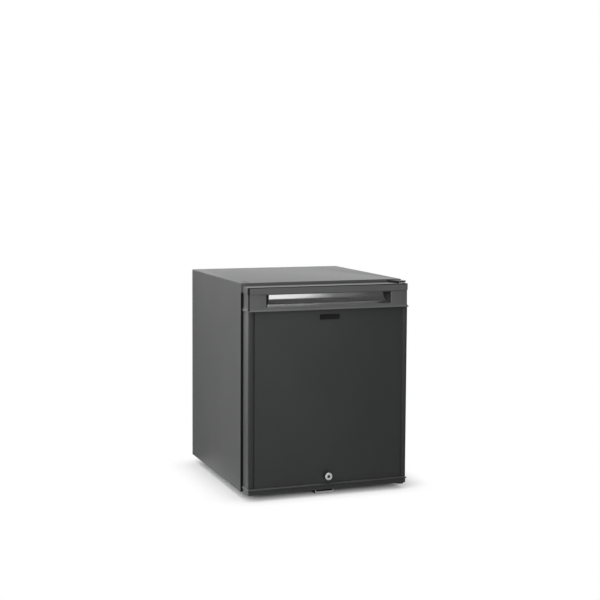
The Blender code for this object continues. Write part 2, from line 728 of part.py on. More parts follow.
def build_liner():
    outer = CAVITY_HALF + LINER_WALL
    depth = (FRONT, CAVITY_BACK + LINER_WALL)
    liner = block((-outer, outer), depth, (CAVITY_FLOOR - LINER_WALL, CAVITY_TOP + LINER_WALL))
    flange_half = HALF - FRONT_RETURN - FIT
    flange_z = (BASE + SILL_HEIGHT + FIT, TOP - FRONT_RETURN - FIT)
    flange = block((-flange_half, flange_half), (FRONT, FRONT + LINER_WALL), flange_z)
    cavity = block(
        (-CAVITY_HALF, CAVITY_HALF),
        (FRONT - LINER_CORNER * 2, CAVITY_BACK),
        (CAVITY_FLOOR, CAVITY_TOP),
        LINER_CORNER,
        3,
    )
    join(liner, flange)
    cut(liner, cavity)
    guides = []
    guide_y = (FRONT + GUIDE_FRONT, CAVITY_BACK - GUIDE_BACK_GAP)
    for index in range(GUIDE_COUNT):
        top = CAVITY_FLOOR + FIRST_GUIDE + GUIDE_PITCH * index
        for side in (-1, 1):
            wall = side * (CAVITY_HALF + LINER_WALL / 2)
            edge = side * (CAVITY_HALF - GUIDE_PROUD)
            guides.append(block(sorted((wall, edge)), guide_y, (top - GUIDE_THICKNESS, top), SOFT_EDGE / 2, 1))
    join(liner, *guides)
    piece("inner_liner", cut(liner, *wall_holes(PLAY)), WHITE_PLASTIC, smooth=True)


def build_feet_and_rail():
    side = HALF - SHEET - FIT
    rail_y = (REAR_LINE - RAIL_DEPTH, REAR_LINE)
    rail = block((-side, side), rail_y, (BASE, BASE + RAIL_HEIGHT))
    inner_y = (rail_y[0] + RAIL_SHEET, rail_y[1] - RAIL_SHEET)
    inner_side = side - RAIL_SHEET
    trough = block((-inner_side, inner_side), inner_y, (BASE + RAIL_SHEET, BASE + RAIL_HEIGHT + OVERCUT))
    piece("rear_rail", cut(rail, trough), GALVANISED)

    top = BASE - FIT
    profile = [(0, 0), (FOOT_RADIUS - SOFT_EDGE, 0), (FOOT_RADIUS, SOFT_EDGE)]
    profile += [(FOOT_RADIUS * 0.85, top - SOFT_EDGE), (FOOT_RADIUS * 0.85, top), (0, top)]
    rows = {"front": FRONT + FOOT_SETBACK, "rear": REAR_LINE - RAIL_DEPTH / 2}
    for row, y in rows.items():
        for name, side in (("left", -1), ("right", 1)):
            x = side * (HALF - FOOT_INSET)
            made = turned(profile, (x, y, 0.0), 2)
            piece(f"foot_{row}_{name}", made, RUBBER, smooth=True)


def build_catch():
    half = CATCH_WIDTH / 2
    left = LOCK_OFFSET - half
    right = LOCK_OFFSET + half
    lip = BOLT_FRONT - CATCH_LIP_PLAY - CATCH_SHEET
    rear = FRONT + CATCH_TONGUE
    top = BASE - FIT
    catch = block((left, right), (lip, rear), (CATCH_FLOOR, top))
    tabs = block((left - CATCH_TAB, right + CATCH_TAB), (FRONT + FIT, rear), (top - CATCH_SHEET, top))
    hollow = block(
        (left + CATCH_SHEET, right - CATCH_SHEET),
        (lip + CATCH_SHEET, rear + OVERCUT),
        (CATCH_FLOOR + CATCH_SHEET, top + OVERCUT),
    )
    under_door = block(
        (left - OVERCUT, right + OVERCUT),
        (lip - OVERCUT, FRONT + FIT),
        (top - CATCH_DOOR_PLAY, top + OVERCUT),
    )
    above_lip = block(
        (left + CATCH_SHEET, right - CATCH_SHEET),
        (lip - OVERCUT, lip + CATCH_SHEET + OVERCUT),
        (CATCH_FLOOR + CATCH_LIP, top + OVERCUT),
    )
    join(catch, tabs)
    cut(catch, hollow)
    through = (top - CATCH_SHEET - OVERCUT, top + OVERCUT)
    holes = [hole(SCREW_RADIUS + FIT, (x, CATCH_SCREW_Y), through) for x in CATCH_SCREWS.values()]
    piece("lock_catch", cut(catch, under_door, above_lip, *holes), BLACK_STEEL)
    under = top - CATCH_SHEET - FIT
    for name, x in CATCH_SCREWS.items():
        made = screw((x, CATCH_SCREW_Y), under - SCREW_HEAD_HEIGHT, under, BASE + SHEET)
        piece(name, made, STEEL, smooth=True)


# Pieces inside the cabinet

def build_shelves():
    half = CAVITY_HALF - SHELF_SIDE_PLAY - SHELF_ROD
    front = FRONT + GUIDE_FRONT + SHELF_ROD
    back = CAVITY_BACK - GUIDE_BACK_GAP - SHELF_ROD
    wires = int((half * 2 - SHELF_ROD * 2) // SHELF_WIRE_PITCH)
    for name, level in SHELF_LEVELS.items():
        z = CAVITY_FLOOR + FIRST_GUIDE + GUIDE_PITCH * level + SHELF_ROD + FIT
        reach = (front - SHELF_ROD, back + SHELF_ROD)
        shelf = rod(SHELF_ROD, (-half, 0.0, z), 1, reach, 8)
        other = rod(SHELF_ROD, (half, 0.0, z), 1, reach, 8)
        middle = (front + back) / 2
        bars = [rod(SHELF_ROD, (0.0, y, z), 0, (-half, half), 8) for y in (front, middle, back)]
        join(shelf, other, *bars)
        for index in range(wires):
            x = (index - (wires - 1) / 2) * SHELF_WIRE_PITCH
            join(shelf, rod(SHELF_WIRE, (x, 0.0, z), 1, (front, back), 6))
        piece(name, shelf, WHITE_PLASTIC, smooth=True)


def build_evaporator():
    back = CAVITY_BACK - FIT
    base = back - EVAPORATOR_BASE
    tip = base - FIN_DEPTH
    half = EVAPORATOR_WIDTH / 2
    outline = [(half, back), (-half, back)]
    pitch = (EVAPORATOR_WIDTH - FIN_THICKNESS) / (FIN_COUNT - 1)
    for index in range(FIN_COUNT):
        left = -half + pitch * index
        right = left + FIN_THICKNESS
        outline += [(left, base), (left, tip), (right, tip), (right, base)]
    del outline[2]
    outline.pop()
    plate = extrusion(outline, 2, (EVAPORATOR_FLOOR, EVAPORATOR_TOP))
    piece("evaporator", plate, ALUMINIUM)

    tray_y = (back - TRAY_DEPTH, back)
    tray = block(centred(TRAY_WIDTH), tray_y, (TRAY_TOP - TRAY_HEIGHT, TRAY_TOP), TRAY_WALL / 2, 1)
    trough = block(
        centred(TRAY_WIDTH - 2 * TRAY_WALL),
        (tray_y[0] + TRAY_WALL, tray_y[1] - TRAY_WALL),
        (TRAY_TOP - TRAY_HEIGHT + TRAY_WALL, TRAY_TOP + OVERCUT),
    )
    mouth = rod(DRAIN_RADIUS + FIT, (DRAIN_X, 0.0, DRAIN_Z), 1, (back - OVERCUT, back + OVERCUT), SMALL_STEPS)
    piece("drip_tray", cut(tray, trough, mouth), WHITE_PLASTIC)


def build_controls():
    x = (CONTROL_RIGHT - CONTROL_WIDTH, CONTROL_RIGHT)
    y = (CONTROL_FACE, CONTROL_FACE + CONTROL_DEPTH)
    box = block(x, y, centred(CONTROL_HEIGHT, CONTROL_Z), SOFT_EDGE * 2, 2)
    knob_x = CONTROL_RIGHT - KNOB_FROM_SIDE
    bore = rod(
        KNOB_SHAFT_RADIUS + FIT,
        (knob_x, 0.0, CONTROL_Z),
        1,
        (CONTROL_FACE - OVERCUT, CONTROL_FACE + KNOB_SHAFT_LENGTH + FIT),
        SMALL_STEPS,
    )
    lamp_x = centred(LAMP_WIDTH, CONTROL_RIGHT - LAMP_FROM_SIDE)
    lamp_z = centred(LAMP_HEIGHT, CONTROL_Z)
    socket_x = (lamp_x[0] + LAMP_WALL * 2, lamp_x[1] - LAMP_WALL * 2)
    socket_z = (lamp_z[0] + LAMP_WALL * 2, lamp_z[1] - LAMP_WALL * 2)
    socket = block(socket_x, (CONTROL_FACE - OVERCUT, CONTROL_FACE + LAMP_DEPTH), socket_z)
    piece("control_box", cut(box, bore, socket), WHITE_PLASTIC, smooth=True)

    lens_y = (CONTROL_FACE - FIT - LAMP_DEPTH, CONTROL_FACE - FIT)
    lens = block(lamp_x, lens_y, lamp_z, SOFT_EDGE, 2)
    hollow = block(
        (lamp_x[0] + LAMP_WALL, lamp_x[1] - LAMP_WALL),
        (lens_y[0] + LAMP_WALL, lens_y[1] + OVERCUT),
        (lamp_z[0] + LAMP_WALL, lamp_z[1] - LAMP_WALL),
    )
    piece("lamp_cover", cut(lens, hollow), CLEAR_PLASTIC, smooth=True)

    face = CONTROL_FACE - PLAY
    tip = face - KNOB_DEPTH
    profile = [(0, tip), (KNOB_RADIUS * 0.8, tip), (KNOB_RADIUS * 0.9, tip + SOFT_EDGE)]
    profile += [(KNOB_RADIUS, face - SOFT_EDGE), (KNOB_RADIUS, face), (KNOB_SHAFT_RADIUS, face)]
    profile += [(KNOB_SHAFT_RADIUS, CONTROL_FACE + KNOB_SHAFT_LENGTH), (0, CONTROL_FACE + KNOB_SHAFT_LENGTH)]
    knob = turned(profile, (knob_x, 0.0, CONTROL_Z), 1)
    pointer_x = centred(SOFT_EDGE, knob_x)
    pointer_z = (CONTROL_Z + KNOB_RADIUS / 3, CONTROL_Z + KNOB_RADIUS)
    cut(knob, block(pointer_x, (tip - OVERCUT, tip + SOFT_EDGE / 2), pointer_z))
    piece("thermostat_knob", knob, DOOR_PLASTIC, KNOB, smooth=True)


# Cooling unit behind the back panel

def build_boiler():
    near = BOX_BACK + FIT
    floor = BASE + JACKET_FLOOR
    top = JACKET_TOP
    jacket = block(centred(JACKET_WIDTH, JACKET_X), (near, near + JACKET_DEPTH), (floor, top), SOFT_EDGE, 1)
    through = (floor - OVERCUT, top + OVERCUT)
    bore = rod(BOILER_RADIUS + FIT, (JACKET_X, UNIT_Y, 0.0), 2, through, SMALL_STEPS)
    heater_x = JACKET_X + HEATER_OFFSET
    heater_top = floor + HEATER_REACH
    pocket = rod(HEATER_RADIUS + FIT, (heater_x, UNIT_Y, 0.0), 2, (floor - OVERCUT, heater_top + FIT), SMALL_STEPS)
    piece("boiler_jacket", cut(jacket, bore, pocket), GALVANISED, smooth=True)

    heater = rod(HEATER_RADIUS, (heater_x, UNIT_Y, 0.0), 2, (floor - HEATER_BELOW, heater_top), SMALL_STEPS)
    piece("heater_cartridge", heater, STEEL, smooth=True)

    tube = pipe(
        [
            (JACKET_X, UNIT_Y, floor - BOILER_BELOW),
            (JACKET_X, UNIT_Y, CONDENSER_Z),
            (JACKET_X - BOILER_TURN, UNIT_Y, CONDENSER_Z),
        ],
        BOILER_RADIUS,
        BOILER_RADIUS * 1.6,
    )
    piece("boiler_tube", tube, UNIT_BLACK, smooth=True)


def build_condenser():
    def ring(x, z):
        points = []
        for step in range(SMALL_STEPS):
            angle = 2 * math.pi * step / SMALL_STEPS
            across = CONDENSER_RADIUS * math.cos(angle)
            points.append((x, UNIT_Y + across, z + CONDENSER_RADIUS * math.sin(angle)))
        return points

    tube = loft([ring(CONDENSER_START, CONDENSER_Z), ring(CONDENSER_END, CONDENSER_Z - CONDENSER_FALL)])
    near = BOX_BACK + FIT
    fin_count = 1 + int((CONDENSER_LENGTH - 2 * COND_FIN_FIRST) / COND_FIN_PITCH)
    for index in range(fin_count):
        x = CONDENSER_START - COND_FIN_FIRST - COND_FIN_PITCH * index
        z = CONDENSER_Z - CONDENSER_FALL * (CONDENSER_START - x) / CONDENSER_LENGTH
        fin = block(centred(COND_FIN_THICKNESS, x), (near, near + COND_FIN_DEPTH), centred(COND_FIN_HEIGHT, z))
        join(tube, fin)
    piece("condenser", tube, UNIT_BLACK, smooth=True)


def build_unit_pipes():
    low = CONDENSER_Z - CONDENSER_FALL
    left = CONDENSER_END - FIT - EVAPORATOR_PIPE_SIDE
    evaporator_pipe = pipe(
        [
            (CONDENSER_END - FIT, UNIT_Y, low),
            (left, UNIT_Y, low),
            (left, UNIT_Y, EVAPORATOR_PIPE_Z),
            (EVAPORATOR_PIPE_X, UNIT_Y, EVAPORATOR_PIPE_Z),
            (EVAPORATOR_PIPE_X, CAVITY_BACK, EVAPORATOR_PIPE_Z),
        ],
        EVAPORATOR_PIPE_RADIUS,
        EVAPORATOR_PIPE_RADIUS * 1.6,
    )
    piece("evaporator_pipe", evaporator_pipe, UNIT_BLACK, smooth=True)

    gas_pipe = pipe(
        [
            (GAS_PIPE_X, CAVITY_BACK, GAS_PIPE_Z),
            (GAS_PIPE_X, UNIT_Y, GAS_PIPE_Z),
            (GAS_PIPE_X, UNIT_Y, TANK_TOP),
        ],
        GAS_PIPE_RADIUS,
        GAS_PIPE_RADIUS * 1.6,
    )
    piece("gas_heat_exchanger", gas_pipe, UNIT_BLACK, smooth=True)

    profile = [(0, TANK_LEFT), (TANK_RADIUS * 0.6, TANK_LEFT + TANK_DOME * 0.25)]
    profile += [(TANK_RADIUS, TANK_LEFT + TANK_DOME), (TANK_RADIUS, TANK_RIGHT - TANK_DOME)]
    profile += [(TANK_RADIUS * 0.6, TANK_RIGHT - TANK_DOME * 0.25), (0, TANK_RIGHT)]
    tank = turned(profile, (0.0, UNIT_Y, TANK_Z), 0)
    piece("absorber_tank", tank, UNIT_BLACK, smooth=True)

    points = []
    runs = int((COIL_TOP - TANK_TOP - COIL_FOOT) / COIL_PITCH)
    for run in range(runs):
        z = COIL_TOP - COIL_PITCH * run
        ends = [(COIL_LEFT, UNIT_Y, z), (COIL_RIGHT, UNIT_Y, z - COIL_FALL)]
        if run % 2:
            ends = [(COIL_RIGHT, UNIT_Y, z), (COIL_LEFT, UNIT_Y, z - COIL_FALL)]
        points += ends
    last = COIL_RIGHT if runs % 2 else COIL_LEFT
    points.append((last, UNIT_Y, TANK_TOP))
    coil = pipe(points, COIL_RADIUS, COIL_RADIUS * 1.6, 1)
    piece("absorber_coil", coil, UNIT_BLACK, smooth=True)

    boiler_floor = BASE + JACKET_FLOOR - BOILER_BELOW - FIT
    liquid = pipe(
        [(TANK_RIGHT + FIT, UNIT_Y, TANK_Z), (JACKET_X, UNIT_Y, TANK_Z), (JACKET_X, UNIT_Y, boiler_floor)],
        LIQUID_RADIUS,
        LIQUID_RADIUS * 1.6,
    )
    piece("liquid_heat_exchanger", liquid, UNIT_BLACK, smooth=True)

    drain_y = BOX_BACK + DRAIN_SETBACK
    rail_y = REAR_LINE - RAIL_DEPTH / 2
    drain_low = TANK_Z - TANK_RADIUS - DRAIN_RADIUS * 4
    drain = pipe(
        [
            (DRAIN_X, CAVITY_BACK - FIT - TRAY_WALL, DRAIN_Z),
            (DRAIN_X, drain_y, DRAIN_Z),
            (DRAIN_X, drain_y, drain_low),
            (DRAIN_X, rail_y, drain_low),
            (DRAIN_X, rail_y, BASE + RAIL_SHEET + FIT),
        ],
        DRAIN_RADIUS,
        DRAIN_RADIUS * 1.6,
    )
    piece("drain_tube", drain, WHITE_PLASTIC, smooth=True)


def build_terminals():
    near = BOX_BACK + FIT
    floor = BASE + TERMINAL_FLOOR
    face = near + TERMINAL_DEPTH
    box = block(
        centred(TERMINAL_WIDTH, TERMINAL_X), (near, face), (floor, floor + TERMINAL_HEIGHT), SOFT_EDGE, 2
    )
    middle = floor + TERMINAL_HEIGHT / 2
    seat_x = centred(INLET_WIDTH + 2 * FIT, TERMINAL_X)
    seat_z = centred(INLET_HEIGHT + 2 * FIT, middle)
    seat = block(seat_x, (face - INLET_DEPTH, face + OVERCUT), seat_z)
    piece("terminal_box", cut(box, seat), DOOR_PLASTIC, smooth=True)

    back = face - INLET_DEPTH + FIT
    inlet = block(centred(INLET_WIDTH, TERMINAL_X), (back, face + PLAY), centred(INLET_HEIGHT, middle))
    socket_x = centred(INLET_WIDTH - 4 * INLET_WALL, TERMINAL_X)
    socket_z = centred(INLET_HEIGHT - 2 * INLET_WALL, middle)
    cut(inlet, block(socket_x, (back + INLET_WALL, face + OVERCUT), socket_z))
    spread = INLET_WIDTH / 6
    for index, offset in enumerate((-spread, 0.0, spread)):
        lift = INLET_WALL / 2 if index == 1 else -INLET_WALL / 2
        blade_x = centred(INLET_BLADE, TERMINAL_X + offset)
        blade_z = centred(INLET_BLADE * 2, middle + lift)
        join(inlet, block(blade_x, (back + INLET_WALL / 2, face - INLET_WALL), blade_z))
    piece("mains_inlet", inlet, DOOR_PLASTIC)


# Door pieces

def ridge(half, floor):
    """The cap's flared edge: an upright lip with a slope that climbs back to the cap."""
    def ring(out, z):
        x = half + out
        y = DOOR_FACE - out
        return [(-x, y, z), (x, y, z), (x, DOOR_BACK, z), (-x, DOOR_BACK, z)]
    return loft([ring(RIDGE_PROUD, floor), ring(RIDGE_PROUD, floor + RIDGE_LIP), ring(0.0, floor + RIDGE_HEIGHT)])


def door_window(inset, y):
    """A cutter for the opening in the door's rear frame, at an inset from the door's outline."""
    half = DOOR_HALF - inset
    return block((-half, half), y, (DOOR_FLOOR + inset, DOOR_TOP - inset))


def build_top_cap():
    floor = DOOR_TOP - TOP_CAP_HEIGHT
    band = block(
        (-DOOR_HALF, DOOR_HALF), (DOOR_FRONT, DOOR_BACK), (DOOR_TOP - BAND_HEIGHT, DOOR_TOP), SOFT_EDGE, 2
    )
    body = block(
        (-PROFILE_HALF, PROFILE_HALF),
        (DOOR_FACE, DOOR_BACK - FIT),
        (floor, DOOR_TOP - BAND_HEIGHT / 2),
        SOFT_EDGE,
        2,
    )
    join(band, body, ridge(PROFILE_HALF, floor))
    inner = PROFILE_HALF - CAP_WALL
    hollow = block(
        (-inner, inner), (DOOR_FACE + CAP_WALL, LINER_FACE), (floor - OVERCUT, DOOR_TOP - CAP_WALL)
    )
    grip_top = DOOR_TOP - GRIP_DROP
    opening = block(
        centred(GRIP_WIDTH),
        (DOOR_FRONT - OVERCUT * 2, DOOR_FACE + CAP_WALL + OVERCUT),
        (grip_top - GRIP_HEIGHT, grip_top),
    )
    bush_hole = bush_seat(DOOR_TOP - BUSH_LENGTH - PLAY, DOOR_TOP + OVERCUT)
    cut(band, hollow)
    cut(band, door_window(FRAME_INSET, (LINER_FACE - OVERCUT, DOOR_BACK + OVERCUT)), opening, bush_hole)
    piece("door_top_cap", band, DOOR_PLASTIC, DOOR, smooth=True)
    piece("top_hinge_bush", bush(DOOR_TOP, -1), WHITE_PLASTIC, DOOR, smooth=True)


def scoop(grow, front):
    """The grip's hollow: a quarter-ellipse floor that sweeps up to the top of its rear wall."""
    top = DOOR_TOP - GRIP_DROP + GRIP_HIDDEN_RIM + grow
    height = GRIP_HEIGHT + 2 * (GRIP_HIDDEN_RIM + grow)
    depth = GRIP_DEPTH + grow
    start = DOOR_FACE + CAP_WALL + FIT
    half = GRIP_WIDTH / 2 + GRIP_HIDDEN_RIM + grow
    left = []
    right = []
    for step in range(GRIP_STEPS + 1):
        angle = math.pi / 2 * step / GRIP_STEPS
        back = depth * math.sin(angle)
        z = top - height * math.cos(angle)
        reach = half - GRIP_END_SLANT * back / depth
        left.append((-reach, start + back, z))
        right.append((reach, start + back, z))
    for row, side in ((left, -half), (right, half)):
        row.append((side, front, top))
        row.append((side, front, top - height))
    return loft([left, right])


def build_grip():
    start = DOOR_FACE + CAP_WALL + FIT
    top = DOOR_TOP - GRIP_DROP + GRIP_FLANGE
    flange = block(
        centred(GRIP_WIDTH + 2 * GRIP_FLANGE),
        (start, start + GRIP_WALL),
        (top - GRIP_HEIGHT - 2 * GRIP_FLANGE + GRIP_HIDDEN_RIM, top),
    )
    join(flange, scoop(GRIP_WALL, start + GRIP_WALL / 2))
    cut(flange, scoop(0.0, start - OVERCUT))
    piece("grip_insert", flange, GLOSS_BLACK, DOOR, smooth=True)


def build_bottom_cap():
    half = PROFILE_HALF - BOTTOM_CAP_INSET
    top = DOOR_FLOOR + BOTTOM_CAP_HEIGHT
    face = DOOR_FACE + BOTTOM_CAP_INSET
    cap = block((-half, half), (face, DOOR_BACK - FIT), (DOOR_FLOOR, top - RIDGE_HEIGHT / 2), SOFT_EDGE * 2, 3)
    join(cap, ridge(PROFILE_HALF, top - RIDGE_HEIGHT))
    inner = half - CAP_WALL
    hollow = block((-inner, inner), (face + CAP_WALL, LINER_FACE), (DOOR_FLOOR + CAP_WALL, top + OVERCUT))
    bolt_slot = block(
        centred(BOLT_WIDTH + 2 * PLAY, LOCK_OFFSET),
        (BOLT_FRONT - PLAY, BOLT_BACK + PLAY),
        (DOOR_FLOOR - OVERCUT, DOOR_FLOOR + CAP_WALL + OVERCUT),
    )
    bush_hole = bush_seat(DOOR_FLOOR - OVERCUT, DOOR_FLOOR + BUSH_LENGTH + PLAY)
    cut(cap, hollow)
    cut(cap, door_window(FRAME_INSET, (LINER_FACE - OVERCUT, DOOR_BACK + OVERCUT)), bolt_slot, bush_hole)
    piece("door_bottom_cap", cap, DOOR_PLASTIC, DOOR, smooth=True)
    inner_radius = PIN_RADIUS + FIT
    outer_radius = inner_radius + BUSH_WALL
    sleeve = [(inner_radius, DOOR_FLOOR), (outer_radius, DOOR_FLOOR), (outer_radius, DOOR_FLOOR + BUSH_LENGTH)]
    sleeve.append((inner_radius, DOOR_FLOOR + BUSH_LENGTH))
    made = turned(sleeve, (HINGE_X, HINGE_Y, 0.0), 2, SMALL_STEPS)
    piece("bottom_hinge_bush", made, WHITE_PLASTIC, DOOR, smooth=True)


def build_profiles():
    """Each side profile: a front strip, the groove beside it, a ledge behind the panel, and a rear return."""
    wall = DOOR_SHEET
    ledge = STRIP_WIDTH + GROOVE_WIDTH + PANEL_LAP
    section = [
        (0, DOOR_FACE), (STRIP_WIDTH, DOOR_FACE), (STRIP_WIDTH, DOOR_FACE + GROOVE_DEPTH),
        (ledge, DOOR_FACE + GROOVE_DEPTH), (ledge, DOOR_FACE + GROOVE_DEPTH + wall),
        (STRIP_WIDTH - wall, DOOR_FACE + GROOVE_DEPTH + wall), (STRIP_WIDTH - wall, DOOR_FACE + wall),
        (wall, DOOR_FACE + wall), (wall, LINER_FACE), (DOOR_RETURN, LINER_FACE),
        (DOOR_RETURN, DOOR_BACK), (0, DOOR_BACK),
    ]
    for name, side in (("left", -1), ("right", 1)):
        outline = [(side * (PROFILE_HALF - inward), y) for inward, y in section]
        made = extrusion(outline, 2, (PROFILE_FLOOR, PROFILE_TOP))
        piece(f"door_profile_{name}", made, DOOR_PLASTIC, DOOR)


def build_panel():
    depth = (PANEL_FRONT, PANEL_FRONT + PANEL_SHEET)
    panel = block((-PANEL_HALF, PANEL_HALF), depth, (PROFILE_FLOOR, PROFILE_TOP))
    limits = (PANEL_FRONT - OVERCUT, PANEL_FRONT + PANEL_SHEET + OVERCUT)
    neck = rod(LOCK_NECK_RADIUS + FIT, (LOCK_OFFSET, 0.0, LOCK_Z), 1, limits)
    piece("door_panel", cut(panel, neck), DOOR_SHEET_PAINT, DOOR, smooth=True)

    plate_y = (PANEL_FRONT - FIT - PLATE_THICKNESS, PANEL_FRONT - FIT)
    made = block(centred(PLATE_WIDTH), plate_y, centred(PLATE_HEIGHT, DOOR_TOP - PLATE_DROP))
    piece("blank_plate", made, GLOSS_BLACK, DOOR)


def build_door_foam():
    floor = DOOR_FLOOR + CAP_WALL + FIT
    top = DOOR_TOP - CAP_WALL - FIT
    foam = block((-CORE_HALF, CORE_HALF), (FOAM_FRONT, LINER_FACE - FIT), (floor, top))
    pad_half = PROFILE_HALF - STRIP_WIDTH - GROOVE_WIDTH - PANEL_LAP - FIT
    pad = block(
        (-pad_half, pad_half), (PANEL_FRONT + PANEL_SHEET + FIT, FOAM_FRONT + OVERCUT), (PROFILE_FLOOR, PROFILE_TOP)
    )
    plug_half = PLUG_HALF - DOOR_SHEET - FIT
    plug = block(
        (-plug_half, plug_half),
        (LINER_FACE - OVERCUT, PLUG_BACK - DOOR_SHEET - FIT),
        (PLUG_FLOOR + DOOR_SHEET + FIT, PLUG_TOP - DOOR_SHEET - FIT),
    )
    join(foam, pad, plug)
    grip_top = DOOR_TOP - GRIP_DROP + GRIP_FLANGE
    grip_pocket = block(
        centred(GRIP_WIDTH + 2 * GRIP_FLANGE + 2 * PLAY),
        (DOOR_FACE, DOOR_FACE + CAP_WALL + FIT + GRIP_DEPTH + GRIP_WALL + FIT),
        (grip_top - GRIP_HEIGHT - 2 * GRIP_FLANGE - PLAY, grip_top + PLAY),
    )
    case_x = centred(2 * (CASE_HALF_WIDTH + FIT), LOCK_OFFSET)
    case_top = DOOR_FLOOR + CAP_WALL + FIT + CASE_HEIGHT
    case_pocket = block(case_x, (DOOR_FRONT, CASE_BACK + FIT), (DOOR_FLOOR, case_top + FIT))
    bushes = [
        bush_seat(DOOR_TOP - BUSH_LENGTH - PLAY, top + OVERCUT),
        bush_seat(floor - OVERCUT, DOOR_FLOOR + BUSH_LENGTH + PLAY),
    ]
    piece("door_foam", cut(foam, grip_pocket, case_pocket, *bushes), FOAM, DOOR)


def build_door_liner():
    inset = FRAME_INSET + GASKET_SLOT
    half = DOOR_HALF - inset
    liner = block((-half, half), (LINER_FACE, DOOR_BACK), (DOOR_FLOOR + inset, DOOR_TOP - inset))
    plug = block(
        (-PLUG_HALF, PLUG_HALF), (DOOR_BACK - DOOR_SHEET / 2, PLUG_BACK), (PLUG_FLOOR, PLUG_TOP), LINER_CORNER / 2, 3
    )
    inner = PLUG_HALF - DOOR_SHEET
    hollow = block(
        (-inner, inner),
        (LINER_FACE - OVERCUT, PLUG_BACK - DOOR_SHEET),
        (PLUG_FLOOR + DOOR_SHEET, PLUG_TOP - DOOR_SHEET),
    )
    skirt = block(
        (-PLUG_HALF, PLUG_HALF),
        (DOOR_BACK - DOOR_SHEET / 2, FRONT + PLUG_REACH / 2),
        (PLUG_FLOOR, PLUG_TOP),
    )
    join(liner, plug, skirt)
    piece("door_liner", cut(liner, hollow), WHITE_PLASTIC, DOOR, smooth=True)


def build_gasket():
    """A magnetic gasket: a foot pressed into the frame's slot, a bellows waist and a flat sealing face."""
    near = DOOR_BACK + FIT
    far = FRONT - FIT
    deep = far - near
    foot = FRAME_INSET + FIT
    foot_end = FRAME_INSET + GASKET_SLOT - FIT
    outer = FRAME_INSET + PLAY
    inner = outer + GASKET_WIDTH
    waist = deep / 5
    root = DOOR_BACK - DOOR_SHEET + FIT
    section = [
        (foot, root), (foot_end, root), (foot_end, near), (inner, near), (inner, near + waist),
        (inner - waist, near + 2 * waist), (inner, near + 3 * waist), (inner, far), (outer, far),
        (outer, near + 3 * waist), (outer + waist, near + 2 * waist), (outer, near + waist),
        (foot, near + waist / 2),
    ]
    rings = []
    for side_x, side_z in ((-1, -1), (1, -1), (1, 1), (-1, 1)):
        ring = []
        for inset, y in section:
            z = DOOR_FLOOR + inset if side_z < 0 else DOOR_TOP - inset
            ring.append((side_x * (DOOR_HALF - inset), y, z))
        rings.append(ring)
    mesh_data = bmesh.new()
    rows = [[mesh_data.verts.new(point) for point in ring] for ring in rings]
    for near_row, far_row in zip(rows, rows[1:] + rows[:1]):
        for index in range(len(near_row)):
            following = (index + 1) % len(near_row)
            mesh_data.faces.new((near_row[index], near_row[following], far_row[following], far_row[index]))
    piece("door_gasket", solid(mesh_data), RUBBER, DOOR)


def build_racks():
    y = (PLUG_BACK + FIT, PLUG_BACK + FIT + RACK_DEPTH)
    for name, (rise, height) in RACKS.items():
        floor = CAVITY_FLOOR + rise
        rack = block(centred(RACK_WIDTH), y, (floor, floor + height), SOFT_EDGE, 2)
        hollow = block(
            centred(RACK_WIDTH - 2 * RACK_WALL),
            (y[0] + RACK_WALL, y[1] - RACK_WALL),
            (floor + RACK_WALL, floor + height + OVERCUT),
        )
        dip = block(
            centred(RACK_WIDTH - 2 * RACK_SIDE_DROP),
            (y[1] - RACK_WALL - OVERCUT, y[1] + OVERCUT),
            (floor + height - RACK_SIDE_DROP, floor + height + OVERCUT),
        )
        piece(name, cut(rack, hollow, dip), CLEAR_PLASTIC, DOOR, smooth=True)


# Lock pieces

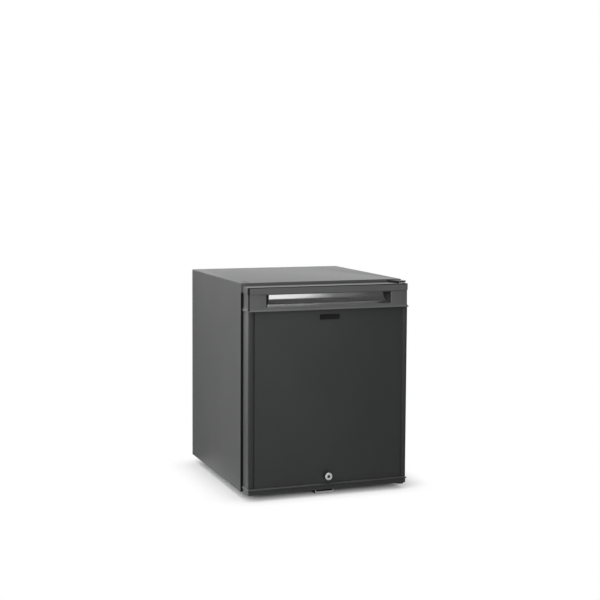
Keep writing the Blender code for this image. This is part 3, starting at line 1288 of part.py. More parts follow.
def build_lock():
    middle = (LOCK_OFFSET, 0.0, LOCK_Z)
    seat = PANEL_FRONT - FIT
    neck_end = seat + LOCK_NECK_LENGTH
    bore = CORE_RADIUS + FIT
    profile = [(bore, LOCK_TIP), (LOCK_RADIUS - SOFT_EDGE, LOCK_TIP), (LOCK_RADIUS, LOCK_TIP + SOFT_EDGE)]
    profile += [(LOCK_RADIUS, seat), (LOCK_NECK_RADIUS, seat), (LOCK_NECK_RADIUS, neck_end), (bore, neck_end)]
    piece("lock_body", turned(profile, middle, 1, ROUND_STEPS), CHROME, DOOR, smooth=True)

    end = CORE_TIP + CORE_LENGTH
    profile = [(0, CORE_TIP), (KEYWAY_INNER, CORE_TIP), (KEYWAY_INNER, CORE_TIP + KEYWAY_DEPTH)]
    profile += [(KEYWAY_OUTER, CORE_TIP + KEYWAY_DEPTH), (KEYWAY_OUTER, CORE_TIP), (CORE_RADIUS, CORE_TIP)]
    profile += [(CORE_RADIUS, end), (0, end)]
    piece("lock_core", turned(profile, middle, 1, SMALL_STEPS), CHROME, LOCK, smooth=True)

    cam = rod(CAM_RADIUS, middle, 1, (CAM_FRONT, CAM_BACK))
    pin_x = LOCK_OFFSET + CRANK_RADIUS * math.cos(CRANK_START)
    pin_z = LOCK_Z + CRANK_RADIUS * math.sin(CRANK_START)
    crank = rod(
        CRANK_PIN_RADIUS, (pin_x, 0.0, pin_z), 1, (CAM_BACK - CAM_THICKNESS / 2, CAM_BACK + CRANK_PIN_LENGTH), 12
    )
    piece("lock_cam", join(cam, crank), STEEL, LOCK, smooth=True)

    slot_low = pin_z - CRANK_PIN_RADIUS - PLAY
    slot_high = pin_z + CRANK_PIN_RADIUS + PLAY
    slot_left = pin_x - CRANK_PIN_RADIUS - PLAY
    slot_right = LOCK_OFFSET + CRANK_RADIUS + CRANK_PIN_RADIUS + PLAY
    wall = CASE_WALL
    half = BOLT_WIDTH / 2
    bolt = block(
        (LOCK_OFFSET - half, LOCK_OFFSET + half), (BOLT_FRONT, BOLT_BACK), (BOLT_REST, slot_low + wall)
    )
    head = block(
        (slot_left - wall, slot_right + wall), (BOLT_FRONT, BOLT_BACK), (slot_low - wall, slot_high + wall)
    )
    join(bolt, head)
    slot = block(
        (slot_left, slot_right), (BOLT_FRONT - OVERCUT, BOLT_BACK + OVERCUT), (slot_low, slot_high)
    )
    piece("lock_bolt", cut(bolt, slot), STEEL, BOLT)

    floor = DOOR_FLOOR + CAP_WALL + FIT
    outer = CASE_HALF_WIDTH
    inner = outer - wall
    case = block((LOCK_OFFSET - outer, LOCK_OFFSET + outer), (CASE_FRONT, CASE_BACK), (floor, floor + CASE_HEIGHT))
    hollow = block(
        (LOCK_OFFSET - inner, LOCK_OFFSET + inner),
        (CASE_FRONT + wall, CASE_BACK - wall),
        (floor - OVERCUT, floor + CASE_HEIGHT - wall),
    )
    neck = rod(LOCK_NECK_RADIUS + FIT, middle, 1, (CASE_FRONT - OVERCUT, CASE_FRONT + wall + OVERCUT))
    piece("lock_case", cut(case, hollow, neck), GALVANISED, DOOR, smooth=True)


build_shell()
build_pan()
build_insulation()
build_liner()
build_hinges()
build_feet_and_rail()
build_catch()
build_shelves()
build_evaporator()
build_controls()
build_boiler()
build_condenser()
build_unit_pipes()
build_terminals()
build_top_cap()
build_grip()
build_bottom_cap()
build_profiles()
build_panel()
build_door_foam()
build_door_liner()
build_gasket()
build_racks()
build_lock()
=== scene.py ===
"""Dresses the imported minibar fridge: finer pieces, finishes, a plain studio and the camera."""

import math

import bpy
from bpy.props import FloatProperty, FloatVectorProperty, IntProperty, PointerProperty
from bpy.types import Operator, Panel, PropertyGroup
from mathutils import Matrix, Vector


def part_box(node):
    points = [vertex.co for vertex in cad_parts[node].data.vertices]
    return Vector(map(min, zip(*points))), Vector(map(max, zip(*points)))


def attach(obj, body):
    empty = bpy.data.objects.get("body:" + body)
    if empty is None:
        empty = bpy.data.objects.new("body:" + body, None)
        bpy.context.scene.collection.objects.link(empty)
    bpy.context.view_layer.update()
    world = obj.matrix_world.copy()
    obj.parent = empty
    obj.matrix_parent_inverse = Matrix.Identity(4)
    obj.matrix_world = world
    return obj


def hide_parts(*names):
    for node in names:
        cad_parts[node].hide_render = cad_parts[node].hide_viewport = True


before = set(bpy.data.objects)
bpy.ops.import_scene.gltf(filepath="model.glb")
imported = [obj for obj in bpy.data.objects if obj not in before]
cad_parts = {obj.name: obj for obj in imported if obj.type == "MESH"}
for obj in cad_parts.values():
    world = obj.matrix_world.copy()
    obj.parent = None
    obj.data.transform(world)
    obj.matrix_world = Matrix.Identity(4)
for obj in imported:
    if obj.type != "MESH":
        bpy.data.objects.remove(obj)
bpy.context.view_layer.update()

bl_info = {
    "name": "Minibar fridge",
    "version": (1, 0, 0),
    "blender": (4, 5, 0),
    "location": "View3D > Sidebar > Fridge",
    "description": "Builds the pieces, finishes and studio of a small absorption fridge",
    "category": "Object",
}

AXES = {"x": 0, "y": 1, "z": 2}

# Tests by angle and place, and the least steps of merging

SHARP = math.radians(35)
ALIGNED = 0.99
SAME_PLACE = 0.0002
MERGE = 0.000005
LETTER_MERGE = 0.000001
FLAT = 0.01
ONLY_SHARP = 0.9

# How far a cutter passes the piece it cuts, and the play between fitted pieces

OVERCUT = 0.002
CLEAR = 0.0003


def span(node):
    """A CAD node's limits on each axis."""
    low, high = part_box(node)
    return tuple(zip(low, high))


# Places and sizes that several pieces share

SHELL_X, SHELL_Y, SHELL_Z = span("outer_shell")
CAP_Z = span("door_top_cap")[2]
PANEL_X, PANEL_Y, PANEL_Z = span("door_panel")
BOX_X, BOX_Y, BOX_Z = span("control_box")
BOX_BACK = span("back_panel")[1][1]
SHEET = 0.001
FRONT_FLANGE = 0.022
REAR_FLANGE = 0.012
CAVITY_X = (-0.168, 0.168)
CAVITY_Z = (0.053, 0.467)
CAVITY_BACK = 0.094
HINGE_X = 0.189
HINGE_Y = -0.208
HINGE_SCREW_X = 0.181
TOP_SCREWS_Y = (-0.165, -0.135)
BOTTOM_SCREWS_Y = (-0.165, -0.145)
LOCK_X = -0.004
LOCK_Z = 0.0485
DIAL_X = 0.134
DIAL_Z = 0.4477
DIAL_BORE = 0.0125
DOOR_FACE = -0.2216
DOOR_BACK = -0.181
LINER_FACE = -0.1825
PROFILE_HALF = 0.1966
BAND_PROUD = 0.0014
BAND_HEIGHT = 0.016
EDGE_WRAP = 0.0070
CAP_WALL = 0.0025
CAP_FRAME = 0.0114
BUSH_BORE = 0.0056
BUSH_SEAT = 0.009
GRIP_HALF = 0.155
GRIP_Z = (0.4475, 0.4755)
GRIP_DEPTH = 0.0175
GRIP_SLANT = 0.014
UNIT_Y = 0.181
ELBOW = 1.6
FEED_X, FEED_Z, FEED_RADIUS = -0.07, 0.400, 0.007
GAS_X, GAS_Z, GAS_RADIUS = 0.034, 0.390, 0.012
DRAIN_X, DRAIN_Z, DRAIN_RADIUS = -0.03, 0.343, 0.004
BOILER_RADIUS = 0.011


# Sizes and colours that a user would change

def length(name, description, default):
    return FloatProperty(
        name=name, description=description, default=default, min=0.0, unit="LENGTH", precision=4
    )


def number(name, description, default):
    return FloatProperty(name=name, description=description, default=default, min=0.0)


def count(name, description, default):
    return IntProperty(name=name, description=description, default=default, min=1)


def colour(name, description, default):
    return FloatVectorProperty(
        name=name, description=description, default=default, size=3, min=0.0, max=1.0, subtype="COLOR"
    )


class FridgeSizes(PropertyGroup):
    bend: length("Sheet bend", "Outer radius of the shell's folded edges", 0.0022)
    soft_edge: length("Moulded edge", "Rounding of moulded plastic edges", 0.0009)
    fine_edge: length("Sheet edge", "Rounding of cut sheet edges", 0.00025)
    seam: length("Top seam", "Width of the seam line under the cabinet's top edge", 0.0007)
    liner_corner: length("Liner corner", "Radius of the liner's inner corners", 0.008)
    shelf_rod: length("Shelf frame", "Radius of the shelf's frame rod", 0.002)
    shelf_wire: length("Shelf wire", "Radius of the shelf's cross wires", 0.0013)
    shelf_wires: count("Shelf wires", "Cross wires in each shelf", 15)
    fins: count("Evaporator fins", "Fins on the evaporator plate", 13)
    condenser_fins: count("Condenser fins", "Fins on the condenser tube", 11)
    flutes: count("Knob flutes", "Grooves round the thermostat knob", 16)
    vents: count("Top vents", "Slots along the rear of the cabinet's top", 5)
    grip_steps: count("Grip steps", "Strips in the sweep of the grip", 32)


class FridgeColours(PropertyGroup):
    cabinet: colour("Cabinet paint", "Powder paint of the cabinet", (0.105, 0.106, 0.107))
    plastic: colour("Door plastic", "Grained plastic of the door's caps and sides", (0.102, 0.103, 0.104))
    sheet: colour("Door sheet", "Satin paint of the door's front", (0.035, 0.036, 0.037))
    gloss: colour("Grip gloss", "Mirror lining of the grip", (0.84, 0.84, 0.845))
    # The grip's ends and the upper cap's rebate also take this black, as painted shade.
    plate: colour("Bare plate", "Black of the bare plate, the grip's ends and the upper cap's grooves",
                  (0.006, 0.006, 0.006))
    black_steel: colour("Black steel", "Blackened hinge plates and catch", (0.012, 0.012, 0.013))
    # The lock's colour is a light grey on a nearly matte finish: a painted reflection in place of chrome's
    # mirror.
    chrome: colour("Satin chrome", "Lock barrel", (0.62, 0.62, 0.63))
    steel: colour("Steel", "Pins, screws, bolt and heater", (0.50, 0.50, 0.51))
    # The white plastic colour also paints the catch's front lip, as a painted reflection of the bright
    # surroundings.
    white: colour("White plastic", "Liner, shelves, tray and control box", (0.80, 0.80, 0.785))
    foam: colour("Foam", "Insulation foam", (0.78, 0.66, 0.38))
    # The rubber colour also paints the shell's front side flanges and the strips in the door gap, as painted
    # shade of that gap.
    rubber: colour("Rubber", "Gasket, feet and the shell's side flanges", (0.008, 0.008, 0.008))
    aluminium: colour("Aluminium", "Evaporator", (0.70, 0.71, 0.72))
    galvanised: colour("Galvanised sheet", "Pan, rear panel, rail and jacket", (0.46, 0.47, 0.48))
    clear: colour("Clear plastic", "Door racks and lamp cover", (0.86, 0.89, 0.90))
    unit: colour("Unit lacquer", "Black lacquer of the cooling unit", (0.018, 0.018, 0.019))
    marks: colour("Dial marks", "Printed numbers of the dial", (0.03, 0.03, 0.035))


class StudioLevels(PropertyGroup):
    floor: colour("Floor", "Pale floor near the object", (0.86, 0.86, 0.865))
    floor_near: length("Shadow reach", "Distance from the object where the floor begins to fade", 0.0)
    floor_far: length("White reach", "Distance from the object where the floor is white", 0.12)
    ambient: number("Ambient level", "Plain light from all round", 0.28)
    front_gloss: number("Front reflection", "Level that gloss sees towards the front", 0.05)
    left_gloss: number("Left reflection", "Share of the backdrop that gloss sees on the left", 0.85)
    floor_gloss: number("Floor reflection", "Level of the white floor as gloss sees it", 0.18)
    top_power: number("Top light", "Watts of the lamp above", 47.0)
    left_power: number("Left light", "Watts of the lamp on the left", 19.0)
    front_power: number("Front light", "Watts of the lamp in front", 7.5)


# Limits along an axis

def middle(limits):
    return (limits[0] + limits[1]) / 2


def extent(limits):
    return limits[1] - limits[0]


def around(size, place=0.0):
    return (place - size / 2, place + size / 2)


def grown(limits, by):
    return (limits[0] - by, limits[1] + by)


def both_ways(half):
    return (-half, half)


def past(limits):
    """The limits of a cutter that goes right through a piece with these limits."""
    return grown(limits, OVERCUT)


def quarter(radius, steps=4):
    """How far a quarter circle has come in and still has to rise, from its side to its top."""
    turns = [math.pi / 2 * index / steps for index in range(steps + 1)]
    return [(radius * (1 - math.cos(turn)), radius * (1 - math.sin(turn))) for turn in turns]


# Shaping, all of it with Blender's own operators

def let_go():
    active = bpy.context.view_layer.objects.active
    if active and active.mode != "OBJECT":
        bpy.ops.object.mode_set(mode="OBJECT")
    bpy.ops.object.select_all(action="DESELECT")


def hold(*chosen):
    let_go()
    for obj in chosen:
        obj.select_set(True)
    bpy.context.view_layer.objects.active = chosen[0]


def settle(obj):
    """Puts an object's place, turn and scale into its mesh."""
    hold(obj)
    bpy.ops.object.transform_apply(location=True, rotation=True, scale=True)
    return obj


def edit(obj, part="FACE", action="SELECT"):
    """Goes into edit mode with all of a piece selected, or nothing of it."""
    hold(obj)
    bpy.ops.object.mode_set(mode="EDIT")
    bpy.ops.mesh.select_mode(type=part)
    bpy.ops.mesh.select_all(action=action)


def done():
    bpy.ops.object.mode_set(mode="OBJECT")


def merge_points(obj, reach):
    edit(obj)
    bpy.ops.mesh.remove_doubles(threshold=reach)
    done()


def face_out(obj):
    edit(obj)
    bpy.ops.mesh.normals_make_consistent(inside=False)
    done()


def turn_over(obj):
    edit(obj)
    bpy.ops.mesh.flip_normals()
    done()


def new_box(x, y, z):
    let_go()
    bpy.ops.mesh.primitive_cube_add(size=1, location=[middle(limits) for limits in (x, y, z)])
    made = bpy.context.object
    made.scale = [extent(limits) for limits in (x, y, z)]
    return settle(made)


def facing(axis, sign, place=None):
    """A test for faces that look along an axis, at a place on it where one is given."""
    index = AXES[axis]

    def test(face):
        looks = face.normal[index] * sign > ALIGNED
        return looks and (place is None or abs(face.center[index] - place) < SAME_PLACE)
    return test


def along(axis):
    """A test for edges that run along an axis."""
    index = AXES[axis]

    def test(start, end):
        run = end - start
        return abs(run[index]) > ALIGNED * run.length
    return test


def pick_faces(obj, test):
    """Goes into edit mode with the faces that pass the test selected."""
    edit(obj, action="DESELECT")
    done()
    for face in obj.data.polygons:
        face.select = test(face)
    bpy.ops.object.mode_set(mode="EDIT")


def pick_edges(obj, test):
    """Goes into edit mode with the edges whose two ends pass the test selected."""
    edit(obj, "EDGE", "DESELECT")
    done()
    points = obj.data.vertices
    for edge in obj.data.edges:
        start, end = (points[index].co for index in edge.vertices)
        edge.select = test(start, end)
    bpy.ops.object.mode_set(mode="EDIT")


def bevel_picked(width, steps):
    bpy.ops.mesh.bevel(offset=width, offset_type="OFFSET", segments=steps, profile=0.5, affect="EDGES")
    done()


def press_in(inset, shift):
    """Insets the picked faces and moves them along Y."""
    bpy.ops.mesh.inset(thickness=inset, use_boundary=True)
    bpy.ops.transform.translate(value=(0, shift, 0))
    done()


def round_along(obj, axis, width, steps=5):
    """Rounds every edge that runs along one axis."""
    pick_edges(obj, along(axis))
    bevel_picked(width, steps)
    return obj


def apply_modifier(obj, kind, settings):
    hold(obj)
    bpy.ops.object.modifier_add(type=kind)
    modifier = obj.modifiers[-1]
    for name, value in settings.items():
        setattr(modifier, name, value)
    bpy.ops.object.modifier_apply(modifier=modifier.name)
    return obj


def round_edges(obj, width, steps=2, angle=0.6):
    settings = {"width": width, "segments": steps, "limit_method": "ANGLE", "angle_limit": angle}
    return apply_modifier(obj, "BEVEL", settings)


def thicken(obj, wall):
    return apply_modifier(obj, "SOLIDIFY", {"thickness": wall, "offset": -1.0, "use_even_offset": True})


def repeat(obj, times, step):
    settings = {"count": times, "use_relative_offset": False, "use_constant_offset": True}
    return apply_modifier(obj, "ARRAY", settings | {"constant_offset_displace": step})


def combine(obj, tools, operation):
    for tool in tools:
        apply_modifier(obj, "BOOLEAN", {"operation": operation, "solver": "EXACT", "object": tool})
        bpy.data.objects.remove(tool)
    return obj


def carve(obj, *tools):
    return combine(obj, tools, "DIFFERENCE")


def weld(obj, *tools):
    return combine(obj, tools, "UNION")


def gather(*parts):
    """Joins finished shells into one object."""
    hold(*parts)
    bpy.ops.object.join()
    return parts[0]


def copy_of(obj, shift=(0, 0, 0)):
    hold(obj)
    bpy.ops.object.duplicate()
    made = bpy.context.object
    made.location = shift
    return settle(made)


def hollow(obj, axis, sign, wall, floor):
    """Opens a box on one side: that face is inset by the wall, then pushed in to the floor's place."""
    pick_faces(obj, facing(axis, sign))
    bpy.ops.mesh.inset(thickness=wall, use_boundary=True)
    done()
    index = AXES[axis]
    face = next(face for face in obj.data.polygons if face.select)
    push = [0.0, 0.0, 0.0]
    push[index] = floor - face.center[index]
    bpy.ops.object.mode_set(mode="EDIT")
    bpy.ops.mesh.extrude_region_move(TRANSFORM_OT_translate={"value": push})
    done()
    return obj


def stack(rings, corner=0.0, axis="z"):
    """A solid from rectangles laid on each other: each ring is (left, right, near, far, height)."""
    let_go()
    bpy.ops.mesh.primitive_plane_add(size=1)
    made = bpy.context.object
    first = rings[0]
    made.scale = (extent(first[:2]), extent(first[2:4]), 1)
    made.location = (middle(first[:2]), middle(first[2:4]), first[4])
    settle(made)
    if corner:
        edit(made, "VERT")
        bpy.ops.mesh.bevel(offset=corner, segments=4, affect="VERTICES")
        done()
    edit(made)
    for before, after in zip(rings, rings[1:]):
        centre = (middle(after[:2]), middle(after[2:4]), after[4])
        shift = (centre[0] - middle(before[:2]), centre[1] - middle(before[2:4]), after[4] - before[4])
        size = (extent(after[:2]) / extent(before[:2]), extent(after[2:4]) / extent(before[2:4]), 1)
        bpy.ops.mesh.extrude_region_move(TRANSFORM_OT_translate={"value": shift})
        bpy.ops.transform.resize(value=size, center_override=centre)
    face_out(made)
    return turn_to(made, axis)


def turn_to(obj, axis):
    """Lays a form that was drawn up Z along another axis; along Y, its top comes to the front."""
    if axis == "y":
        obj.rotation_euler = (math.pi / 2, 0, 0)
    if axis == "x":
        obj.rotation_euler = (0, math.pi / 2, 0)
    return settle(obj)


def turned(rings, place=(0, 0, 0), axis="z", sides=40, flutes=0, flute_depth=0.93, tube=False):
    """A round piece from (radius, height) rings, capped at its ends; a tube is closed through its bore.

    Heights run along the axis; along Y they run towards the front.
    """
    let_go()
    fill = "NOTHING" if tube else "NGON"
    radius, height = rings[0]
    bpy.ops.mesh.primitive_circle_add(vertices=sides, radius=radius, fill_type=fill, location=(0, 0, height))
    made = settle(bpy.context.object)
    if flutes:
        edit(made, "VERT", "DESELECT")
        done()
        every = sides // flutes
        for vertex in made.data.vertices:
            vertex.select = vertex.index % every == 0
        bpy.ops.object.mode_set(mode="EDIT")
        bpy.ops.transform.resize(value=(flute_depth, flute_depth, 1), center_override=(0, 0, height))
        done()
    edit(made, "EDGE" if tube else "FACE")
    for before, after in zip(rings, rings[1:]):
        bpy.ops.mesh.extrude_region_move(TRANSFORM_OT_translate={"value": (0, 0, after[1] - before[1])})
        size = after[0] / before[0]
        bpy.ops.transform.resize(value=(size, size, 1), center_override=(0, 0, after[1]))
    if tube:
        bpy.ops.mesh.select_all(action="DESELECT")
        bpy.ops.mesh.select_non_manifold()
        bpy.ops.mesh.bridge_edge_loops()
    face_out(made)
    turn_to(made, axis)
    made.location = place
    return settle(made)


def rod(radius, place, axis, limits, edge=0.0, sides=24):
    """A round bar along an axis, its end edges rounded where asked."""
    low, high = limits
    if axis == "y":
        low, high = -limits[1], -limits[0]
    rings = [(radius, low), (radius, high)]
    if edge:
        rings = [(radius - edge, low), (radius, low + edge), (radius, high - edge), (radius - edge, high)]
    return turned(rings, place, axis, sides)


def rounded_path(points, bend, steps=9):
    """The points of a bent centre line, each corner turned on an arc."""
    points = [Vector(point) for point in points]
    path = [points[0]]
    for before, corner, after in zip(points, points[1:], points[2:]):
        back = (before - corner).normalized()
        ahead = (after - corner).normalized()
        half = back.angle(ahead) / 2
        reach = bend / math.tan(half)
        centre = corner + (back + ahead).normalized() * (bend / math.sin(half))
        start = corner + back * reach - centre
        end = corner + ahead * reach - centre
        for step in range(steps + 1):
            path.append(centre + start.slerp(end, step / steps).normalized() * bend)
    path.append(points[-1])
    return path


def tube(points, radius, bend, closed=False, sides=4):
    """A bent bar along the points."""
    path = rounded_path(points, bend)
    if closed:
        loop = [points[-1]] + list(points) + [points[0]]
        path = rounded_path(loop, bend)[1:-1]
    let_go()
    bpy.ops.curve.primitive_nurbs_path_add()
    drawn = bpy.context.object
    line = drawn.data.splines[0]
    line.type = "POLY"
    line.points.add(len(path) - len(line.points))
    for point, place in zip(line.points, path):
        point.co = (*place, 1.0)
    line.use_cyclic_u = closed
    drawn.location = (0, 0, 0)
    drawn.data.bevel_depth = radius
    drawn.data.bevel_resolution = sides
    drawn.data.use_fill_caps = not closed
    hold(drawn)
    bpy.ops.object.convert(target="MESH")
    made = bpy.context.object
    merge_points(made, MERGE)
    face_out(made)
    return made


def lettering(text, size, place, depth):
    """A number on a face that looks to the front."""
    let_go()
    bpy.ops.object.text_add(location=place)
    drawn = bpy.context.object
    drawn.data.body = text
    drawn.data.size = size
    drawn.data.extrude = depth
    drawn.data.align_x = "CENTER"
    drawn.data.align_y = "CENTER"
    bpy.ops.object.convert(target="MESH")
    made = bpy.context.object
    made.rotation_euler = (math.pi / 2, 0, 0)
    settle(made)
    merge_points(made, LETTER_MERGE)
    return made


def refined(node, width, steps=2):
    """A copy of a CAD node with its triangles merged, its flat faces made whole and its edges rounded."""
    hold(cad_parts[node])
    bpy.ops.object.duplicate()
    made = bpy.context.object
    made.parent = None
    made.data = made.data.copy()
    settle(made)
    merge_points(made, MERGE)
    edit(made)
    bpy.ops.mesh.dissolve_limited(angle_limit=FLAT)
    done()
    return round_edges(made, width, steps)


def split_at(obj, axis, place):
    """Cuts an edge round a piece at one place on an axis, so that each side of it can have its own finish."""
    point = [0.0, 0.0, 0.0]
    normal = [0.0, 0.0, 0.0]
    point[AXES[axis]] = place
    normal[AXES[axis]] = 1.0
    edit(obj)
    bpy.ops.mesh.bisect(plane_co=point, plane_no=normal)
    done()


FINISHES = {}


def place_piece(obj, name, body, finish, *nodes, angle=SHARP):
    """Names a piece, smooths it, gives it its finish and tells the frame what it rides on and replaces."""
    hold(obj)
    bpy.ops.object.shade_smooth_by_angle(angle=angle)
    obj.name = name
    obj.data.name = name
    obj.data.materials.clear()
    obj.data.materials.append(FINISHES[finish])
    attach(obj, body)
    if nodes:
        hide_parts(*nodes)


def second_finish(obj, finish, test):
    """Gives the faces that pass the test a finish of their own."""
    obj.data.materials.append(FINISHES[finish])
    for face in obj.data.polygons:
        if test(face):
            face.material_index = 1


# Finishes

class Link:
    """A socket of a node tree that takes part in sums as a number does."""

    def __init__(self, board, socket):
        self.board = board
        self.socket = socket

    def sum(self, operation, first, second):
        return self.board.node("ShaderNodeMath", {"operation": operation}, {0: first, 1: second})

    def __add__(self, other):
        return self.sum("ADD", self, other)

    def __sub__(self, other):
        return self.sum("SUBTRACT", self, other)

    def __rsub__(self, other):
        return self.sum("SUBTRACT", other, self)

    def __mul__(self, other):
        return self.sum("MULTIPLY", self, other)

    def __pow__(self, other):
        return self.sum("POWER", self, other)

    __radd__ = __add__
    __rmul__ = __mul__


class Board:
    """A node tree that is filled in by expressions."""

    def __init__(self, tree):
        self.tree = tree

    def node(self, kind, settings, values, output=0):
        """Adds a node: its settings first, then the numbers or links of its sockets."""
        made = self.tree.nodes.new(kind)
        for name, value in settings.items():
            setattr(made, name, value)
        for name, value in values.items():
            self.give(made.inputs[name], value)
        return Link(self, made.outputs[output])

    def give(self, socket, value):
        if isinstance(value, Link):
            self.tree.links.new(value.socket, socket)
        else:
            socket.default_value = value

    def coordinates(self, stretch):
        spot = self.node("ShaderNodeTexCoord", {}, {}, "Object")
        return self.node("ShaderNodeMapping", {}, {"Vector": spot, "Scale": stretch})

    def noise(self, size, detail=3.0, stretch=(1, 1, 1), roughness=0.5):
        values = {"Vector": self.coordinates(stretch), "Scale": 1 / size}
        return self.node("ShaderNodeTexNoise", {}, values | {"Detail": detail, "Roughness": roughness})

    def cells(self, size, feature="F1", output="Distance"):
        values = {"Vector": self.coordinates((1, 1, 1)), "Scale": 1 / size}
        return self.node("ShaderNodeTexVoronoi", {"feature": feature}, values, output)

    def part(self, vector, axis):
        return self.node("ShaderNodeSeparateXYZ", {}, {"Vector": vector}, axis)

    def clamp(self, value, low=0.0, high=1.0):
        values = {"Value": value, "From Min": low, "From Max": high}
        return self.node("ShaderNodeMapRange", {"interpolation_type": "SMOOTHSTEP"}, values)

    def blend(self, factor, first, second):
        settings = {"data_type": "RGBA"}
        return self.node("ShaderNodeMix", settings, {0: factor, 6: (*first, 1), 7: (*second, 1)}, 2)

    def bump(self, height, strength, distance):
        values = {"Height": height, "Strength": strength, "Distance": distance}
        return self.node("ShaderNodeBump", {}, values)


def shade(tint, factor):
    return tuple(min(1.0, part * factor) for part in tint)


class Finish(Board):
    """A finish with its shader, whose constants are set on its own sockets."""

    def __init__(self, name, metallic=0.0, **constants):
        material = bpy.data.materials.new(name)
        material.use_nodes = True
        super().__init__(material.node_tree)
        self.shader = material.node_tree.nodes["Principled BSDF"]
        self.shader.inputs["Metallic"].default_value = metallic
        for socket, value in constants.items():
            self.shader.inputs[socket.replace("_", " ")].default_value = value
        FINISHES[name] = material

    def paint(self, tint, tone, dark, light):
        """The colour, from a dark to a light shade of the tint as the tone rises."""
        self.give(self.shader.inputs["Base Color"], self.blend(tone, shade(tint, dark), shade(tint, light)))

    def feel(self, roughness, height=None, strength=0.0, depth=0.0):
        """The roughness, and the relief that a bump draws."""
        self.give(self.shader.inputs["Roughness"], roughness)
        if height is not None:
            self.give(self.shader.inputs["Normal"], self.bump(height, strength, depth))


def paint_finish(tint):
    """Powder paint: an orange-peel skin with fine dark and light specks."""
    made = Finish("cabinet_paint")
    peel = made.noise(0.0016, 2.0)
    cloud = made.noise(0.09, 3.0)
    speck = made.clamp(made.noise(0.0007, 1.0), 0.62, 0.75)
    made.paint(tint, made.clamp(cloud * 0.7 + speck * 0.3), 0.93, 1.10)
    made.feel(0.34 + peel * 0.10 + cloud * 0.05, peel, 0.12, 0.0003)


def plastic_finish(tint):
    """Moulded door plastic with a fine leather grain."""
    made = Finish("door_plastic")
    grain = made.cells(0.0011, "SMOOTH_F1")
    fine = made.noise(0.0005, 2.0)
    cloud = made.noise(0.06, 2.0)
    made.paint(tint, made.clamp(cloud * 0.6 + grain * 0.5), 0.92, 1.10)
    made.feel(0.36 + grain * 0.10 + cloud * 0.04, grain + fine * 0.4, 0.28, 0.00025)


def sheet_finish(tint):
    """Satin painted sheet of the door's front, with a very fine mottle."""
    made = Finish("door_sheet")
    mottle = made.noise(0.0022, 3.0)
    cloud = made.noise(0.12, 2.0)
    made.paint(tint, made.clamp(mottle * 0.5 + cloud * 0.5), 0.90, 1.12)
    made.feel(0.44 + mottle * 0.08, mottle, 0.10, 0.0002)


def gloss_finish(tint):
    """Mirror lining of the grip, with faint handling marks drawn along it."""
    made = Finish("gloss_black", 0.95)
    smear = made.noise(0.012, 4.0, (0.25, 1, 1))
    haze = made.noise(0.05, 3.0)
    made.paint(tint, made.clamp(smear * 0.6 + haze * 0.4), 0.90, 1.08)
    made.feel(0.07 + smear * 0.11, smear, 0.02, 0.0003)


def plate_finish(tint):
    """Bare black plate: smooth lacquer with a little dust."""
    made = Finish("plate_black", Specular_IOR_Level=0.3)
    smear = made.noise(0.008, 4.0)
    dust = made.clamp(made.noise(0.0006, 1.0), 0.70, 0.80)
    made.paint(tint, dust * 0.3, 1.0, 3.0)
    made.feel(0.34 + smear * 0.14, smear, 0.03, 0.0002)


def metal_finish(name, tint, roughness, metallic, size, stretch, strength):
    """Bright or blackened metal with drawn lines and faint stains."""
    made = Finish(name, metallic)
    lines = made.noise(size, 4.0, stretch, 0.6)
    stain = made.noise(0.018, 4.0)
    made.paint(tint, made.clamp(stain * 0.6 + lines * 0.4), 0.84, 1.08)
    made.feel(roughness + lines * 0.14 + stain * 0.05, lines, strength, 0.0002)


def galvanised_finish(tint):
    """Zinc-coated sheet with its crystal spangle."""
    made = Finish("galvanised", 0.85)
    spangle = made.cells(0.007, "F1", "Color")
    flake = made.node("ShaderNodeSeparateColor", {}, {"Color": spangle})
    rolled = made.noise(0.004, 4.0, (1, 1, 0.2))
    made.paint(tint, made.clamp(flake * 0.8 + rolled * 0.25), 0.88, 1.08)
    made.feel(0.38 + flake * 0.08 + rolled * 0.06, flake * 0.3 + rolled, 0.06, 0.0003)


def white_finish(tint):
    """Vacuum-formed white plastic with a soft mottle."""
    made = Finish("white_plastic", Subsurface_Weight=0.03)
    mottle = made.noise(0.003, 3.0)
    cloud = made.noise(0.07, 2.0)
    made.paint(tint, made.clamp(cloud * 0.8 + mottle * 0.2), 0.97, 1.02)
    made.feel(0.34 + mottle * 0.08, mottle, 0.06, 0.0003)


def foam_finish(tint):
    """Blown foam with open cells."""
    made = Finish("foam")
    cell = made.cells(0.0016)
    cloud = made.noise(0.02, 4.0)
    made.paint(tint, made.clamp(cell * 0.6 + cloud * 0.4), 0.75, 1.1)
    made.feel(0.85 + cell * 0.1, 1 - cell, 0.5, 0.0008)


def rubber_finish(tint):
    """Dull black rubber with a faint pale bloom."""
    made = Finish("rubber", Specular_IOR_Level=0.12)
    skin = made.noise(0.0009, 3.0)
    bloom = made.noise(0.02, 4.0)
    made.paint(tint, made.clamp(bloom), 0.8, 1.5)
    made.feel(0.62 + skin * 0.12, skin, 0.15, 0.0002)


def clear_finish(tint):
    """Clear moulded plastic, slightly veiled by handling."""
    made = Finish("clear_plastic", Transmission_Weight=0.85, IOR=1.49)
    haze = made.noise(0.012, 4.0)
    flow = made.noise(0.03, 2.0, (0.2, 1, 1))
    made.paint(tint, made.clamp(flow), 0.97, 1.04)
    made.feel(0.07 + haze * 0.10, flow, 0.04, 0.0005)


def lacquer_finish(tint):
    """Black stove lacquer of the cooling unit, with runs and a little dust."""
    made = Finish("unit_black", Coat_Weight=0.2, Coat_Roughness=0.3)
    runs = made.noise(0.006, 3.0, (1, 1, 0.35))
    dust = made.clamp(made.noise(0.02, 6.0), 0.5, 0.75)
    made.paint(tint, dust * 0.5, 1.0, 2.2)
    made.feel(0.40 + runs * 0.12 + dust * 0.16, runs, 0.14, 0.0005)


